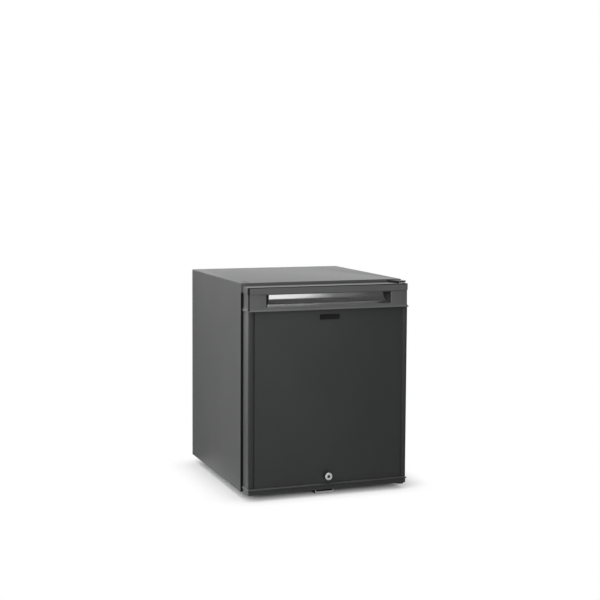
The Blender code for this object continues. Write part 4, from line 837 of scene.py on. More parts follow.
def marks_finish(tint):
    """Printing ink of the dial's numbers."""
    made = Finish("dial_marks")
    ink = made.noise(0.0012, 3.0)
    made.paint(tint, made.clamp(ink), 0.8, 1.4)
    made.feel(0.5 + ink * 0.1)


def make_finishes(tints):
    paint_finish(tints.cabinet)
    plastic_finish(tints.plastic)
    sheet_finish(tints.sheet)
    gloss_finish(tints.gloss)
    plate_finish(tints.plate)
    metal_finish("black_steel", tints.black_steel, 0.42, 0.0, 0.002, (1, 1, 1), 0.10)
    # Nearly matte and light: the lock's painted reflection in place of chrome's mirror.
    metal_finish("chrome", tints.chrome, 0.36, 0.15, 0.0015, (1, 1, 1), 0.03)
    metal_finish("steel", tints.steel, 0.24, 1.0, 0.0012, (1, 1, 0.1), 0.06)
    metal_finish("aluminium", tints.aluminium, 0.30, 1.0, 0.0010, (1, 1, 0.04), 0.08)
    galvanised_finish(tints.galvanised)
    white_finish(tints.white)
    foam_finish(tints.foam)
    rubber_finish(tints.rubber)
    clear_finish(tints.clear)
    lacquer_finish(tints.unit)
    marks_finish(tints.marks)


def dress_cad_nodes():
    """Every CAD node gets the finish that stands for its own material."""
    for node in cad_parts.values():
        for holder in node.material_slots:
            base = holder.material.name.split(".")[0]
            if base in FINISHES:
                holder.material = FINISHES[base]


# Cabinet

def looks_front(face, share=0.5):
    return face.normal.y < -share


def build_shell(sizes):
    """The folded sheet: its flanges, vents, screw holes, hinge slot and seam lines."""
    top = SHELL_Z[1]
    front = SHELL_Y[0]
    low = SHELL_Z[0] - OVERCUT
    shell = new_box(SHELL_X, SHELL_Y, SHELL_Z)
    inside = new_box(grown(SHELL_X, -SHEET), grown(SHELL_Y, -SHEET), (low, top - SHEET))
    for block, bend in ((shell, sizes.bend), (inside, sizes.bend - SHEET)):
        pick_edges(block, lambda start, end: along("y")(start, end) and start.z > top - OVERCUT)
        bevel_picked(bend, 6)
    openings = []
    for y, flange in ((SHELL_Y[0], FRONT_FLANGE), (SHELL_Y[1], REAR_FLANGE)):
        openings.append(new_box(grown(SHELL_X, -flange), around(2 * OVERCUT, y), (low, top - flange)))
    carve(shell, inside, *openings)
    round_edges(shell, sizes.fine_edge, 2, ONLY_SHARP)

    vent_length, vent_width, vent_pitch, vent_inset = 0.038, 0.003, 0.074, 0.007
    vent_round = 0.0014
    screw_hole = 0.0043
    seam_drop = 0.0034
    over_top = (top - SHEET - OVERCUT, top + OVERCUT)
    cutters = []
    for index in range(sizes.vents):
        place = (index - (sizes.vents - 1) / 2) * vent_pitch
        vent = new_box(around(vent_length, place), around(vent_width, SHELL_Y[1] - vent_inset), over_top)
        cutters.append(round_along(vent, "z", vent_round, 4))
    cutters += [rod(screw_hole, (HINGE_SCREW_X, y, 0), "z", over_top) for y in TOP_SCREWS_Y]
    bracket = span("top_hinge_bracket")
    slot_z = (bracket[2][0] - CLEAR, bracket[2][1] + CLEAR / 2)
    cutters.append(new_box(grown(bracket[0], CLEAR), around(2 * OVERCUT, front), slot_z))
    left, right = SHELL_X
    for groove_x in ((left - OVERCUT, left + SHEET / 2), (right - SHEET / 2, right + OVERCUT)):
        cutters.append(new_box(groove_x, past(SHELL_Y), around(sizes.seam, top - seam_drop)))
    carve(shell, *cutters)
    place_piece(shell, "cabinet_shell", "cabinet", "cabinet_paint", "outer_shell")
    flange_top = top - FRONT_FLANGE
    split_at(shell, "z", flange_top)

    # The shell's front flanges below the top are given black rubber as painted shade, so the gap beside the
    # door reads dark.
    def on_side_flange(face):
        return face.center.y < front + CLEAR and looks_front(face) and face.center.z < flange_top
    second_finish(shell, "rubber", on_side_flange)


def build_top_plugs():
    """Blind plugs in the holes of the reversed hinge, at the left front of the top."""
    from_side = 0.020
    plug = turned([(0.0036, 0), (0.0036, 0.0004), (0.0030, 0.0009), (0.0015, 0.0011)], sides=20)
    for index, behind in enumerate((0.010, 0.027, 0.040)):
        made = copy_of(plug, (SHELL_X[0] + from_side, SHELL_Y[0] + behind, SHELL_Z[1]))
        place_piece(made, f"top_plug_{index + 1}", "cabinet", "door_plastic")
    bpy.data.objects.remove(plug)


def build_back(sizes):
    """The rear sheet of the insulated box with its pressed border and pipe holes, the pan and the rail."""
    border, step, sink = 0.014, 0.002, -0.0007
    play = 0.0005
    x, y, z = span("back_panel")
    panel = new_box(x, y, z)
    pick_faces(panel, facing("y", 1))
    bpy.ops.mesh.inset(thickness=border, use_boundary=True)
    press_in(step, sink)
    pipes = ((FEED_RADIUS, FEED_X, FEED_Z), (GAS_RADIUS, GAS_X, GAS_Z), (DRAIN_RADIUS, DRAIN_X, DRAIN_Z))
    carve(panel, *[rod(radius + play, (px, 0, pz), "y", past(y)) for radius, px, pz in pipes])
    place_piece(panel, "rear_sheet", "cabinet", "galvanised", "back_panel")
    for name, node in (("rear_base_rail", "rear_rail"), ("floor_pan", "bottom_pan")):
        place_piece(refined(node, sizes.fine_edge), name, "cabinet", "galvanised", node)


def screw_model(radius=0.004, head=0.0018, shank=0.002, reach=0.004):
    """A pan-head screw on its tip, head up, with a cross in the head; the head's underside is at zero."""
    rings = [(shank * 0.6, -reach), (shank, -reach + 0.001), (shank, 0), (radius, 0), (radius, head * 0.45)]
    rings += [(radius * 0.9, head * 0.75), (radius * 0.65, head * 0.95), (radius * 0.3, head)]
    made = turned(rings, sides=28)
    long, narrow, depth = radius * 1.1, radius * 0.26, head * 0.35
    for slot_x, slot_y in ((long, narrow), (narrow, long)):
        carve(made, new_box(around(slot_x), around(slot_y), (depth, head + OVERCUT)))
    return made


UP = (0, 0, 0)
DOWN = (math.pi, 0, 0)
TO_FRONT = (math.pi / 2, 0, 0)
TO_REAR = (-math.pi / 2, 0, 0)


def place_screw(model, name, place, turn, *nodes):
    made = copy_of(model)
    made.rotation_euler = turn
    made.location = place
    settle(made)
    place_piece(made, name, "cabinet", "steel", *nodes)


def build_screws():
    """The hinge screws, the catch's screws and the rear sheet's screws."""
    model = screw_model()
    top_z, floor_z, catch_z = SHELL_Z[1] - SHEET - 0.0008, 0.0114, 0.0129
    for index, y in enumerate(TOP_SCREWS_Y, 1):
        place = (HINGE_SCREW_X, y, top_z)
        place_screw(model, f"top_screw_{index}", place, UP, f"top_hinge_screw_{index}")
    for index, y in enumerate(BOTTOM_SCREWS_Y, 1):
        place = (HINGE_SCREW_X, y, floor_z)
        place_screw(model, f"floor_screw_{index}", place, DOWN, f"bottom_hinge_screw_{index}")
    for side, x in (("left", -0.0325), ("right", 0.0245)):
        place_screw(model, f"catch_fixing_{side}", (x, -0.16, catch_z), DOWN, f"catch_screw_{side}")
    small = screw_model(0.0032, 0.0014, 0.0015, 0.0008)
    spots = [(x, z) for z in (0.024, 0.490) for x in (-0.19, -0.063, 0.063, 0.19)]
    spots += [(x, z) for x in (-0.192, 0.192) for z in (0.14, 0.26, 0.38)]
    for index, (x, z) in enumerate(spots, 1):
        place_screw(small, f"rear_screw_{index}", (x, BOX_BACK, z), TO_REAR)
    bpy.data.objects.remove(model)
    bpy.data.objects.remove(small)


def build_liner(sizes):
    """The vacuum-formed tub: rounded corners, shelf guides and the front flange."""
    front = SHELL_Y[0]
    rim = front + CLEAR
    wall, rim_round = 0.0015, 0.0016
    flange_x = (-0.1787, 0.1787)
    flange_z = (0.0453, 0.4777)
    tub = new_box(CAVITY_X, (front, CAVITY_BACK), CAVITY_Z)
    pick_faces(tub, facing("y", -1))
    bpy.ops.mesh.delete(type="FACE")
    done()
    pick_edges(tub, lambda start, end: along("y")(start, end) or min(start.y, end.y) > CAVITY_BACK - OVERCUT)
    bevel_picked(sizes.liner_corner, 6)
    pick_edges(tub, lambda start, end: max(start.y, end.y) < rim)
    bpy.ops.mesh.extrude_edges_move(TRANSFORM_OT_translate={"value": (0, 0, 0)})
    size = (extent(flange_x) / extent(CAVITY_X), 1, extent(flange_z) / extent(CAVITY_Z))
    bpy.ops.transform.resize(value=size, center_override=(0, front, middle(CAVITY_Z)))
    bpy.ops.transform.translate(value=(0, 0, middle(flange_z) - middle(CAVITY_Z)))
    turn_over(tub)
    mouth_x, mouth_z = CAVITY_X[1] + CLEAR, grown(CAVITY_Z, CLEAR)
    pick_edges(tub, lambda start, end: max(start.y, end.y) < rim and max(abs(start.x), abs(end.x)) < mouth_x
               and mouth_z[0] < min(start.z, end.z) and max(start.z, end.z) < mouth_z[1])
    bevel_picked(rim_round, 3)
    thicken(tub, wall)

    guide_pitch, guide_height, guide_depth = 0.085, 0.005, 0.006
    guide_start, guide_end = 0.090, 0.006
    guide_y = (front + guide_start, CAVITY_BACK - guide_end)
    for index in range(3):
        top = CAVITY_Z[0] + guide_pitch * (index + 1)
        for side in (-1, 1):
            ends = sorted((side * (CAVITY_X[1] + wall / 2), side * (CAVITY_X[1] - guide_depth)))
            guide = new_box(ends, guide_y, (top - guide_height, top))
            weld(tub, round_edges(guide, sizes.soft_edge, 3))
    place_piece(tub, "cabinet_liner", "cabinet", "white_plastic", "inner_liner")


def hinge_plate(sizes, node, tongue, screws_y):
    """A plate that tapers from its tongue to a round nose about the pin."""
    x, _, z = span(node)
    nose, tail_round = 0.0086, 0.003
    pin_hole, screw_hole = 0.0033, 0.0023
    front = SHELL_Y[0]
    plate = new_box(x, (front, front + tongue), z)
    pick_faces(plate, facing("y", -1))
    bpy.ops.mesh.extrude_region_move(TRANSFORM_OT_translate={"value": (0, HINGE_Y - nose - front, 0)})
    done()
    pick_edges(plate, lambda start, end: max(start.y, end.y) < HINGE_Y and max(start.x, end.x) < x[1] - nose)
    bpy.ops.transform.translate(value=(HINGE_X - nose - x[0], 0, 0))
    done()
    pick_edges(plate, lambda start, end: along("z")(start, end) and max(start.y, end.y) < HINGE_Y)
    bevel_picked(nose * 0.97, 10)
    tail = front + tongue - OVERCUT
    pick_edges(plate, lambda start, end: along("z")(start, end) and min(start.y, end.y) > tail)
    bevel_picked(tail_round, 5)
    round_edges(plate, sizes.fine_edge, 2, ONLY_SHARP)
    holes = [rod(pin_hole, (HINGE_X, HINGE_Y, 0), "z", past(z))]
    holes += [rod(screw_hole, (HINGE_SCREW_X, screw_y, 0), "z", past(z)) for screw_y in screws_y]
    return carve(plate, *holes)


def build_hinges(sizes):
    """The two hinge plates, their headed pins and the door's bushes."""
    for end, tongue, screws_y in (("top", 0.048, TOP_SCREWS_Y), ("bottom", 0.040, BOTTOM_SCREWS_Y)):
        node = f"{end}_hinge_bracket"
        plate = hinge_plate(sizes, node, tongue, screws_y)
        place_piece(plate, f"{end}_hinge_plate", "cabinet", "black_steel", node)
    axis = (HINGE_X, HINGE_Y, 0)
    head_height = 0.0008
    low, high = span("top_hinge_pin")[2]
    head = high - head_height
    rings = [(0.0024, low), (0.003, low + 0.0006), (0.003, head), (0.0045, head)]
    rings += [(0.0045, head + 0.0003), (0.0040, head + 0.0006), (0.0030, high)]
    rings += [(0.0016, high), (0.0013, high - 0.0003)]
    place_piece(turned(rings, axis, sides=32), "top_pin", "cabinet", "steel", "top_hinge_pin")
    low, high = span("bottom_hinge_pin")[2]
    head = low + head_height
    rings = [(0.0016, low), (0.0030, low), (0.0040, low + 0.0002), (0.0045, low + 0.0005), (0.0045, head)]
    rings += [(0.003, head), (0.003, high - 0.0006), (0.0024, high)]
    place_piece(turned(rings, axis, sides=32), "bottom_pin", "cabinet", "steel", "bottom_hinge_pin")
    bore, wall = 0.0033, 0.0053
    low, high, flange = 0.4845, 0.4933, 0.494
    upper = [(bore, low), (wall, low + CLEAR), (wall, high), (0.0075, high), (0.0075, flange), (bore, flange)]
    low, high = 0.0155, 0.024
    lower = [(bore, low), (wall, low + CLEAR), (wall, high), (bore, high)]
    for end, rings in (("top", upper), ("bottom", lower)):
        bush = turned(rings, axis, sides=32, tube=True)
        place_piece(bush, f"{end}_bush", "door", "white_plastic", f"{end}_hinge_bush")


def build_feet():
    """Moulded feet with a treaded sole."""
    rings = [(0.0040, 0.0006), (0.0060, 0.0006), (0.0062, 0), (0.0085, 0), (0.0088, 0.0006), (0.0105, 0.0006)]
    rings += [(0.0108, 0), (0.0130, 0), (0.0138, 0.0005), (0.0140, 0.0014), (0.0138, 0.0030)]
    rings += [(0.0121, 0.0135), (0.0118, 0.0147), (0.0070, 0.0147)]
    model = turned(rings, sides=40)
    for place in ("front_left", "front_right", "rear_left", "rear_right"):
        node = f"foot_{place}"
        x, y = span(node)[:2]
        foot = copy_of(model, (middle(x), middle(y), 0))
        place_piece(foot, f"{node}_moulded", "cabinet", "rubber", node)
    bpy.data.objects.remove(model)


def build_catch(sizes):
    """The catch bracket, whose front lip is painted white as a painted reflection of the bright surroundings.
    """
    catch = refined("lock_catch", sizes.fine_edge)
    place_piece(catch, "catch_bracket", "cabinet", "black_steel", "lock_catch")
    lip = span("lock_catch")[1][0] + CLEAR
    # The front lip's white stands as a painted reflection of the bright surroundings.
    second_finish(catch, "white_plastic", lambda face: face.center.y < lip and looks_front(face))


# Inside the cabinet

def build_shelves(sizes):
    """Coated wire shelves: a bent frame, a stiffening bar and the cross wires on top."""
    radius, wire_radius = sizes.shelf_rod, sizes.shelf_wire
    corner = 0.012
    for node in ("shelf_lower", "shelf_upper"):
        x, y, z = span(node)
        level = middle(z)
        left, right = grown(x, -radius)
        near, far = grown(y, -radius)
        corners = [(left, near, level), (right, near, level), (right, far, level), (left, far, level)]
        shelf = tube(corners, radius, corner, closed=True)
        bar = rod(radius, (0, middle(y), level), "x", (left, right), 0.0, 16)
        pitch = (right - left - 2 * corner) / (sizes.shelf_wires - 1)
        place = (left + corner, 0, level + radius * 0.7)
        wire = rod(wire_radius, place, "y", grown((near, far), radius / 2), wire_radius / 2, 12)
        repeat(wire, sizes.shelf_wires, (pitch, 0, 0))
        gather(shelf, bar, wire)
        place_piece(shelf, f"{node}_wirework", "cabinet", "white_plastic", node)


def build_evaporator(sizes):
    """The cast plate with its fins, and the drip tray under it."""
    base, fin_wall = 0.004, 0.0016
    x, y, z = span("evaporator")
    plate = new_box(x, (y[1] - base, y[1]), z)
    round_edges(plate, sizes.soft_edge, 3)
    pitch = (extent(x) - fin_wall) / (sizes.fins - 1)
    fin = new_box((x[0], x[0] + fin_wall), (y[0], y[1] - base + SHEET), z)
    round_edges(fin, 0.0006, 3)
    repeat(fin, sizes.fins, (pitch, 0, 0))
    weld(plate, fin)
    place_piece(plate, "evaporator_fins", "cabinet", "aluminium", "evaporator")

    wall, floor, corner = 0.0016, 0.0018, 0.003
    x, y, z = span("drip_tray")
    tray = new_box(x, y, z)
    pick_edges(tray, lambda start, end: min(start.z, end.z) < z[0] + CLEAR or along("z")(start, end))
    bevel_picked(corner, 4)
    hollow(tray, "z", 1, wall, z[0] + floor)
    round_edges(tray, 0.0004, 2, ONLY_SHARP)
    ear = new_box(around(0.030), (y[0] - 0.0025, y[0] + SHEET), (z[1] - 0.004, z[1] - 0.002))
    weld(tray, round_edges(ear, 0.0008, 3))
    place_piece(tray, "melt_tray", "cabinet", "white_plastic", "drip_tray")


def build_control_box():
    """The control housing with its air slots, the dial's numbers, the lamp cover and the screws."""
    face = BOX_Y[0]
    box = new_box(BOX_X, BOX_Y, BOX_Z)
    round_along(box, "y", 0.0045, 5)
    round_edges(box, 0.0011, 3, ONLY_SHARP)
    shaft_bore = 0.0033
    lamp_x, lamp_y, lamp_z = span("lamp_cover")
    frame_width, socket_depth = 0.003, 0.006
    cutters = [rod(shaft_bore, (DIAL_X, 0, DIAL_Z), "y", (face - OVERCUT, face + DIAL_BORE))]
    socket_y = (face - OVERCUT, face + socket_depth)
    cutters.append(new_box(grown(lamp_x, -frame_width), socket_y, grown(lamp_z, -frame_width)))
    slot_length, slot_width, slot_depth, slot_pitch, first_slot = 0.060, 0.0016, 0.0016, 0.010, 0.030
    for index in range(5):
        slot_y = around(slot_width, face + first_slot + slot_pitch * index)
        slot_z = (BOX_Z[0] - OVERCUT, BOX_Z[0] + slot_depth)
        cutters.append(new_box(around(slot_length, middle(BOX_X)), slot_y, slot_z))
    carve(box, *cutters)
    place_piece(box, "control_housing", "cabinet", "white_plastic", "control_box")

    size, rise, depth, reach = 0.0034, 0.00005, 0.00004, 0.0165
    first, step = -135, 54
    marks = []
    for index in range(6):
        angle = math.radians(first + step * index)
        place = (DIAL_X + reach * math.sin(angle), face - rise, DIAL_Z + reach * math.cos(angle))
        marks.append(lettering(str(index), size, place, depth))
    place_piece(gather(*marks), "dial_numbers", "cabinet", "dial_marks")

    wall, ribs, rib_pitch = 0.0015, 20, 0.00195
    cover = new_box(lamp_x, lamp_y, lamp_z)
    round_along(cover, "y", 0.003, 5)
    round_edges(cover, 0.0007, 3, ONLY_SHARP)
    rib_x = (lamp_x[0] + 0.005, lamp_x[0] + 0.006)
    rib = new_box(rib_x, (lamp_y[0] - 0.0005, lamp_y[0] + 0.0008), grown(lamp_z, -frame_width))
    round_edges(rib, 0.0004, 2)
    repeat(rib, ribs, (rib_pitch, 0, 0))
    weld(cover, rib)
    carve(cover, new_box(grown(lamp_x, -wall), (lamp_y[0] + wall, lamp_y[1] + OVERCUT), grown(lamp_z, -wall)))
    place_piece(cover, "lamp_lens", "cabinet", "clear_plastic", "lamp_cover")
    model = screw_model(0.0026, 0.0012, 0.0012, 0.0008)
    for side, x in (("left", BOX_X[0] + 0.007), ("right", BOX_X[1] - 0.0055)):
        place_screw(model, f"control_screw_{side}", (x, face, BOX_Z[0] + 0.007), TO_FRONT)
    bpy.data.objects.remove(model)


def build_knob(sizes):
    """The fluted knob with its skirt, shaft and printed pointer."""
    face = -BOX_Y[0] + 0.0005
    radius = 0.0135
    shaft = 0.003
    axis = (DIAL_X, 0, DIAL_Z)
    rings = [(shaft, face - DIAL_BORE), (shaft, face), (radius, face), (radius, face + 0.0018)]
    knob = turned(rings, axis, "y", 64)
    grip = [(radius * 0.93, face + 0.0012), (radius * 0.90, face + 0.0095), (radius * 0.86, face + 0.0112)]
    grip.append((radius * 0.78, face + 0.0120))
    weld(knob, turned(grip, axis, "y", 64, sizes.flutes, 0.93))
    place_piece(knob, "fluted_knob", "dial", "door_plastic", "thermostat_knob", angle=0.5)
    tip = BOX_Y[0] - 0.0125
    pointer_z = (DIAL_Z + 0.004, DIAL_Z + 0.0100)
    pointer = new_box(around(0.0011, DIAL_X), (tip - 0.00015, tip + 0.0004), pointer_z)
    round_along(pointer, "y", 0.0004, 3)
    place_piece(pointer, "knob_pointer", "dial", "white_plastic")


# Cooling unit

def bent_pipe(points, radius, sides):
    return tube(points, radius, radius * ELBOW, sides=sides)


def place_unit(obj, name, node):
    place_piece(obj, name, "cabinet", "unit_black", node)


def build_boiler():
    """The boiler's casing with its bands and screws, the heater cartridge and the boiler pipe."""
    x, y, z = span("boiler_jacket")
    boiler_x = middle(x)
    heater_x, _, heater_z = span("heater_cartridge")
    heater_x = middle(heater_x)
    proud, band_width = 0.0006, 0.006
    bands = (z[0] + 0.018, z[1] - 0.020)
    jacket = round_along(new_box(x, y, z), "z", 0.003, 5)
    for height in bands:
        band = new_box(grown(x, proud), (y[0] + 0.004, y[1] + proud), around(band_width, height))
        weld(jacket, round_edges(band, 0.0005, 2))
    pipe_bore, heater_bore = 0.0118, 0.0062
    bore = rod(pipe_bore, (boiler_x, UNIT_Y, 0), "z", past(z))
    seat = rod(heater_bore, (heater_x, UNIT_Y, 0), "z", (z[0] - OVERCUT, heater_z[1] + SHEET))
    carve(jacket, bore, seat)
    place_piece(jacket, "boiler_casing", "cabinet", "galvanised", "boiler_jacket")
    model = screw_model(0.003, 0.0012, 0.0014, 0.0008)
    for index, height in enumerate(bands, 1):
        place_screw(model, f"casing_screw_{index}", (boiler_x, y[1] + proud, height), TO_REAR)
    bpy.data.objects.remove(model)

    low, high = heater_z
    rings = [(0.0030, low), (0.0036, low), (0.0036, low + 0.004), (0.0055, low + 0.004)]
    rings += [(0.0055, high - 0.0008), (0.0047, high)]
    cartridge = turned(rings, (heater_x, UNIT_Y, 0), sides=32)
    place_piece(cartridge, "heater_rod", "cabinet", "steel", "heater_cartridge")

    pipe_x, _, pipe_z = span("boiler_tube")
    radius, bead, half = BOILER_RADIUS, 0.0011, 0.0016
    level = pipe_z[1] - radius
    path = [(boiler_x, UNIT_Y, pipe_z[0]), (boiler_x, UNIT_Y, level), (pipe_x[0], UNIT_Y, level)]
    boiler = bent_pipe(path, radius, 6)
    for height in (pipe_z[0] + 0.004, z[1] + 0.006):
        rings = [(radius, height - half), (radius + bead, height), (radius, height + half)]
        weld(boiler, turned(rings, (boiler_x, UNIT_Y, 0), sides=32))
    place_unit(boiler, "boiler_pipe", "boiler_tube")


def build_condenser(sizes):
    """The condenser's falling pipe and its collared fins."""
    radius, fall, bend, kink = 0.009, 0.012, 0.05, 0.00001
    x, y, _ = span("condenser")
    start = span("boiler_tube")[2][1] - BOILER_RADIUS
    slope = fall / extent(x)
    path = [(x[1], UNIT_Y, start), (middle(x), UNIT_Y, start - fall / 2 - kink), (x[0], UNIT_Y, start - fall)]
    pipe = tube(path, radius, bend, sides=6)

    wall, height, pitch, from_end = 0.0008, 0.056, 0.0185, 0.018
    place = (x[1] - from_end, UNIT_Y, start - slope * from_end)
    fin = new_box(around(wall, place[0]), y, around(height, place[2]))
    round_along(fin, "x", 0.004, 4)
    weld(fin, rod(radius + 0.0012, place, "x", both_ways(0.0022), sides=32))
    carve(fin, rod(radius, place, "x", both_ways(0.005), sides=32))
    repeat(fin, sizes.condenser_fins, (-pitch, 0, -pitch * slope))
    place_unit(gather(pipe, fin), "condenser_finned", "condenser")


def ring_weld(radius, place):
    """The raised bead of a weld round an upright pipe."""
    half = 0.0013
    proud = half * 0.7
    rings = [(radius, -half), (radius + proud, -half / 2), (radius + proud, half / 2), (radius, half)]
    return turned(rings, place, "z", 32)


def build_tank(radius):
    """The absorber's tank: a drum with domed ends and a seam near each of them."""
    (left, right), _, z = span("absorber_tank")
    rings = [(radius * 0.25, left), (radius * 0.55, left + 0.0012), (radius * 0.8, left + 0.0034)]
    rings += [(radius * 0.94, left + 0.0062), (radius, left + 0.0100), (radius, left + 0.013)]
    rings += [(radius + 0.0009, left + 0.0142), (radius + 0.0009, left + 0.0158), (radius, left + 0.017)]
    rings += [(ring, left + right - place) for ring, place in reversed(rings)]
    place_unit(turned(rings, (0, UNIT_Y, middle(z)), "x", 48), "absorber_vessel", "absorber_tank")


def build_unit_pipes():
    """Evaporator pipe, gas heat exchanger, absorber coil and tank, liquid heat exchanger and drain."""
    x, _, z = span("evaporator_pipe")
    high, low = z[1] - FEED_RADIUS, z[0] + FEED_RADIUS
    left = x[0] + FEED_RADIUS
    path = [(span("condenser")[0][0], UNIT_Y, high), (left, UNIT_Y, high), (left, UNIT_Y, low)]
    path += [(FEED_X, UNIT_Y, low), (FEED_X, CAVITY_BACK, low)]
    place_unit(bent_pipe(path, FEED_RADIUS, 5), "evaporator_feed", "evaporator_pipe")

    tank_x, _, tank_z = span("absorber_tank")
    tank_radius = 0.026
    level = middle(tank_z)
    tank_top = tank_z[1] + CLEAR
    build_tank(tank_radius)

    high = span("gas_heat_exchanger")[2][1] - GAS_RADIUS
    path = [(GAS_X, CAVITY_BACK, high), (GAS_X, UNIT_Y, high), (GAS_X, UNIT_Y, tank_top)]
    pipe = bent_pipe(path, GAS_RADIUS, 6)
    for height in (tank_top + 0.004, 0.30, 0.17):
        weld(pipe, ring_weld(GAS_RADIUS, (GAS_X, UNIT_Y, height)))
    place_unit(pipe, "gas_exchanger_pipe", "gas_heat_exchanger")

    x, _, z = span("absorber_coil")
    radius, runs, pitch, fall = 0.008, 5, 0.038, 0.006
    left, right = grown(x, -radius)
    path = []
    for run in range(runs):
        height = z[1] - radius - pitch * run
        start, end = (right, left) if run % 2 else (left, right)
        path += [(start, UNIT_Y, height), (end, UNIT_Y, height - fall)]
    path.append((right, UNIT_Y, tank_top))
    place_unit(bent_pipe(path, radius, 5), "absorber_serpentine", "absorber_coil")

    boiler_x = middle(span("boiler_jacket")[0])
    boiler_floor = span("boiler_tube")[2][0] - CLEAR
    path = [(tank_x[1] + CLEAR, UNIT_Y, level), (boiler_x, UNIT_Y, level), (boiler_x, UNIT_Y, boiler_floor)]
    place_unit(bent_pipe(path, 0.007, 5), "liquid_exchanger_pipe", "liquid_heat_exchanger")

    mouth, behind, low, foot = 0.0921, BOX_BACK + 0.01, level - tank_radius - 0.016, 0.0168
    rail = middle(span("rear_rail")[1])
    path = [(mouth, DRAIN_Z), (behind, DRAIN_Z), (behind, low), (rail, low), (rail, foot)]
    drain = bent_pipe([(DRAIN_X, y, z) for y, z in path], DRAIN_RADIUS, 4)
    place_piece(drain, "drain_hose", "cabinet", "white_plastic", "drain_tube")


def build_terminals():
    """The terminal housing with its lid seam, and the mains inlet with three pins."""
    seam, seam_depth, lid = 0.0008, 0.0007, 0.014
    x, y, z = span("terminal_box")
    inlet_x, inlet_y, inlet_z = span("mains_inlet")
    box = round_edges(new_box(x, y, z), 0.0016, 4)
    recess = new_box(grown(inlet_x, CLEAR), (inlet_y[0] - CLEAR, y[1] + OVERCUT), grown(inlet_z, CLEAR))
    seam_y = around(seam, y[1] - lid)
    groove = new_box(past(x), seam_y, past(z))
    carve(groove, new_box(grown(x, -seam_depth), past(seam_y), grown(z, -seam_depth)))
    carve(box, recess, groove)
    place_piece(box, "terminal_housing", "cabinet", "door_plastic", "terminal_box")

    wall = 0.003
    inlet = round_along(new_box(inlet_x, inlet_y, inlet_z), "y", 0.003, 4)
    hollow(inlet, "y", 1, wall, inlet_y[0] + wall)
    pick_faces(inlet, facing("y", 1, inlet_y[1]))
    press_in(0.001, 0.0004)
    place_piece(inlet, "inlet_socket", "cabinet", "door_plastic", "mains_inlet")
    pins = []
    pin_y = (inlet_y[0] + 0.002, inlet_y[1] - 0.0035)
    for offset, lift in ((-0.008, -0.0015), (0.0, 0.0015), (0.008, -0.0015)):
        pin_x = around(0.0022, middle(inlet_x) + offset)
        pin = new_box(pin_x, pin_y, around(0.0044, middle(inlet_z) + lift))
        pins.append(round_edges(pin, 0.0005, 2))
    place_piece(gather(*pins), "inlet_pins", "cabinet", "steel")
    model = screw_model(0.0028, 0.0012, 0.0014, 0.0008)
    left, right = grown(x, -0.006)
    low, high = grown(z, -0.006)
    for index, (screw_x, screw_z) in enumerate(((left, high), (right, low)), 1):
        place_screw(model, f"terminal_screw_{index}", (screw_x, y[1], screw_z), TO_REAR)
    bpy.data.objects.remove(model)


# Door

def cap_ring(out, height):
    """A ring of a door cap's outline, out from the side profiles and the front by a distance."""
    return (*both_ways(PROFILE_HALF + out), DOOR_FACE - out, DOOR_BACK - CLEAR, height)


def cap_window(z):
    """A cutter for the opening that a cap leaves to the door liner."""
    half = PROFILE_HALF + BAND_PROUD - CAP_FRAME
    return new_box(both_ways(half), (LINER_FACE - OVERCUT, DOOR_BACK + OVERCUT), z)


def build_top_cap(sizes):
    """The moulded cap: ridge at its foot, plain body, proud band at the top, and the grip's opening."""
    floor, top = CAP_Z
    step, proud, sink = 0.0003, BAND_PROUD, 0.0004
    ridge = ((0.0026, 0), (0.0030, step), (0.0030, 0.0012), (0.0026, 0.0020), (0.0015, 0.0032),
             (0.0007, 0.0050), (0.0002, 0.0068), (0.0, 0.0082))
    rings = [cap_ring(out, floor + up) for out, up in ridge]
    band = ((0.0, -step), (-sink, -step / 2), (-sink, step), (proud - step, step * 1.5), (proud, step * 2.5))
    rings += [cap_ring(out, top - BAND_HEIGHT + up) for out, up in band]
    rings += [cap_ring(proud - inward, top - down) for inward, down in quarter(sizes.soft_edge)]
    cap = stack(rings, 0.0014)
    cave_y = (DOOR_FACE + CAP_WALL, LINER_FACE)
    inside = new_box(both_ways(PROFILE_HALF - CAP_WALL), cave_y, (floor - OVERCUT, top - CAP_WALL))
    window = cap_window((floor - OVERCUT, top - CAP_FRAME))

    beyond, deep, side_deep, margin = 0.21, 0.0016, 0.0012, 0.0001
    rebate_y = (DOOR_FACE - 2 * proud, DOOR_FACE + 0.0016)
    rebate_floor = floor + 0.0022
    side_edge = PROFILE_HALF - side_deep
    grooves = [new_box(both_ways(beyond), rebate_y, (top - deep, top + OVERCUT))]
    for side in (-1, 1):
        groove_x = sorted((side * side_edge, side * beyond))
        grooves.append(new_box(groove_x, rebate_y, (rebate_floor, top + OVERCUT)))
    bore = rod(BUSH_BORE, (HINGE_X, HINGE_Y, 0), "z", (top - BUSH_SEAT, top + OVERCUT))
    carve(cap, inside, window, flared_opening(), bore, *grooves)
    wrap = DOOR_FACE + EDGE_WRAP
    split_at(cap, "y", wrap)
    place_piece(cap, "door_cap_upper", "door", "door_plastic", "door_top_cap")

    # The rebate's faces along the top and at the sides' front edges are painted black as painted shade of the
    # joint line.
    def in_rebate(face):
        spot = face.center
        if spot.z < rebate_floor - CLEAR or spot.y > wrap:
            return False
        on_top = spot.z > top - deep - margin and spot.y < rebate_y[1] + CLEAR
        return on_top or abs(spot.x) > side_edge - margin
    second_finish(cap, "plate_black", in_rebate)


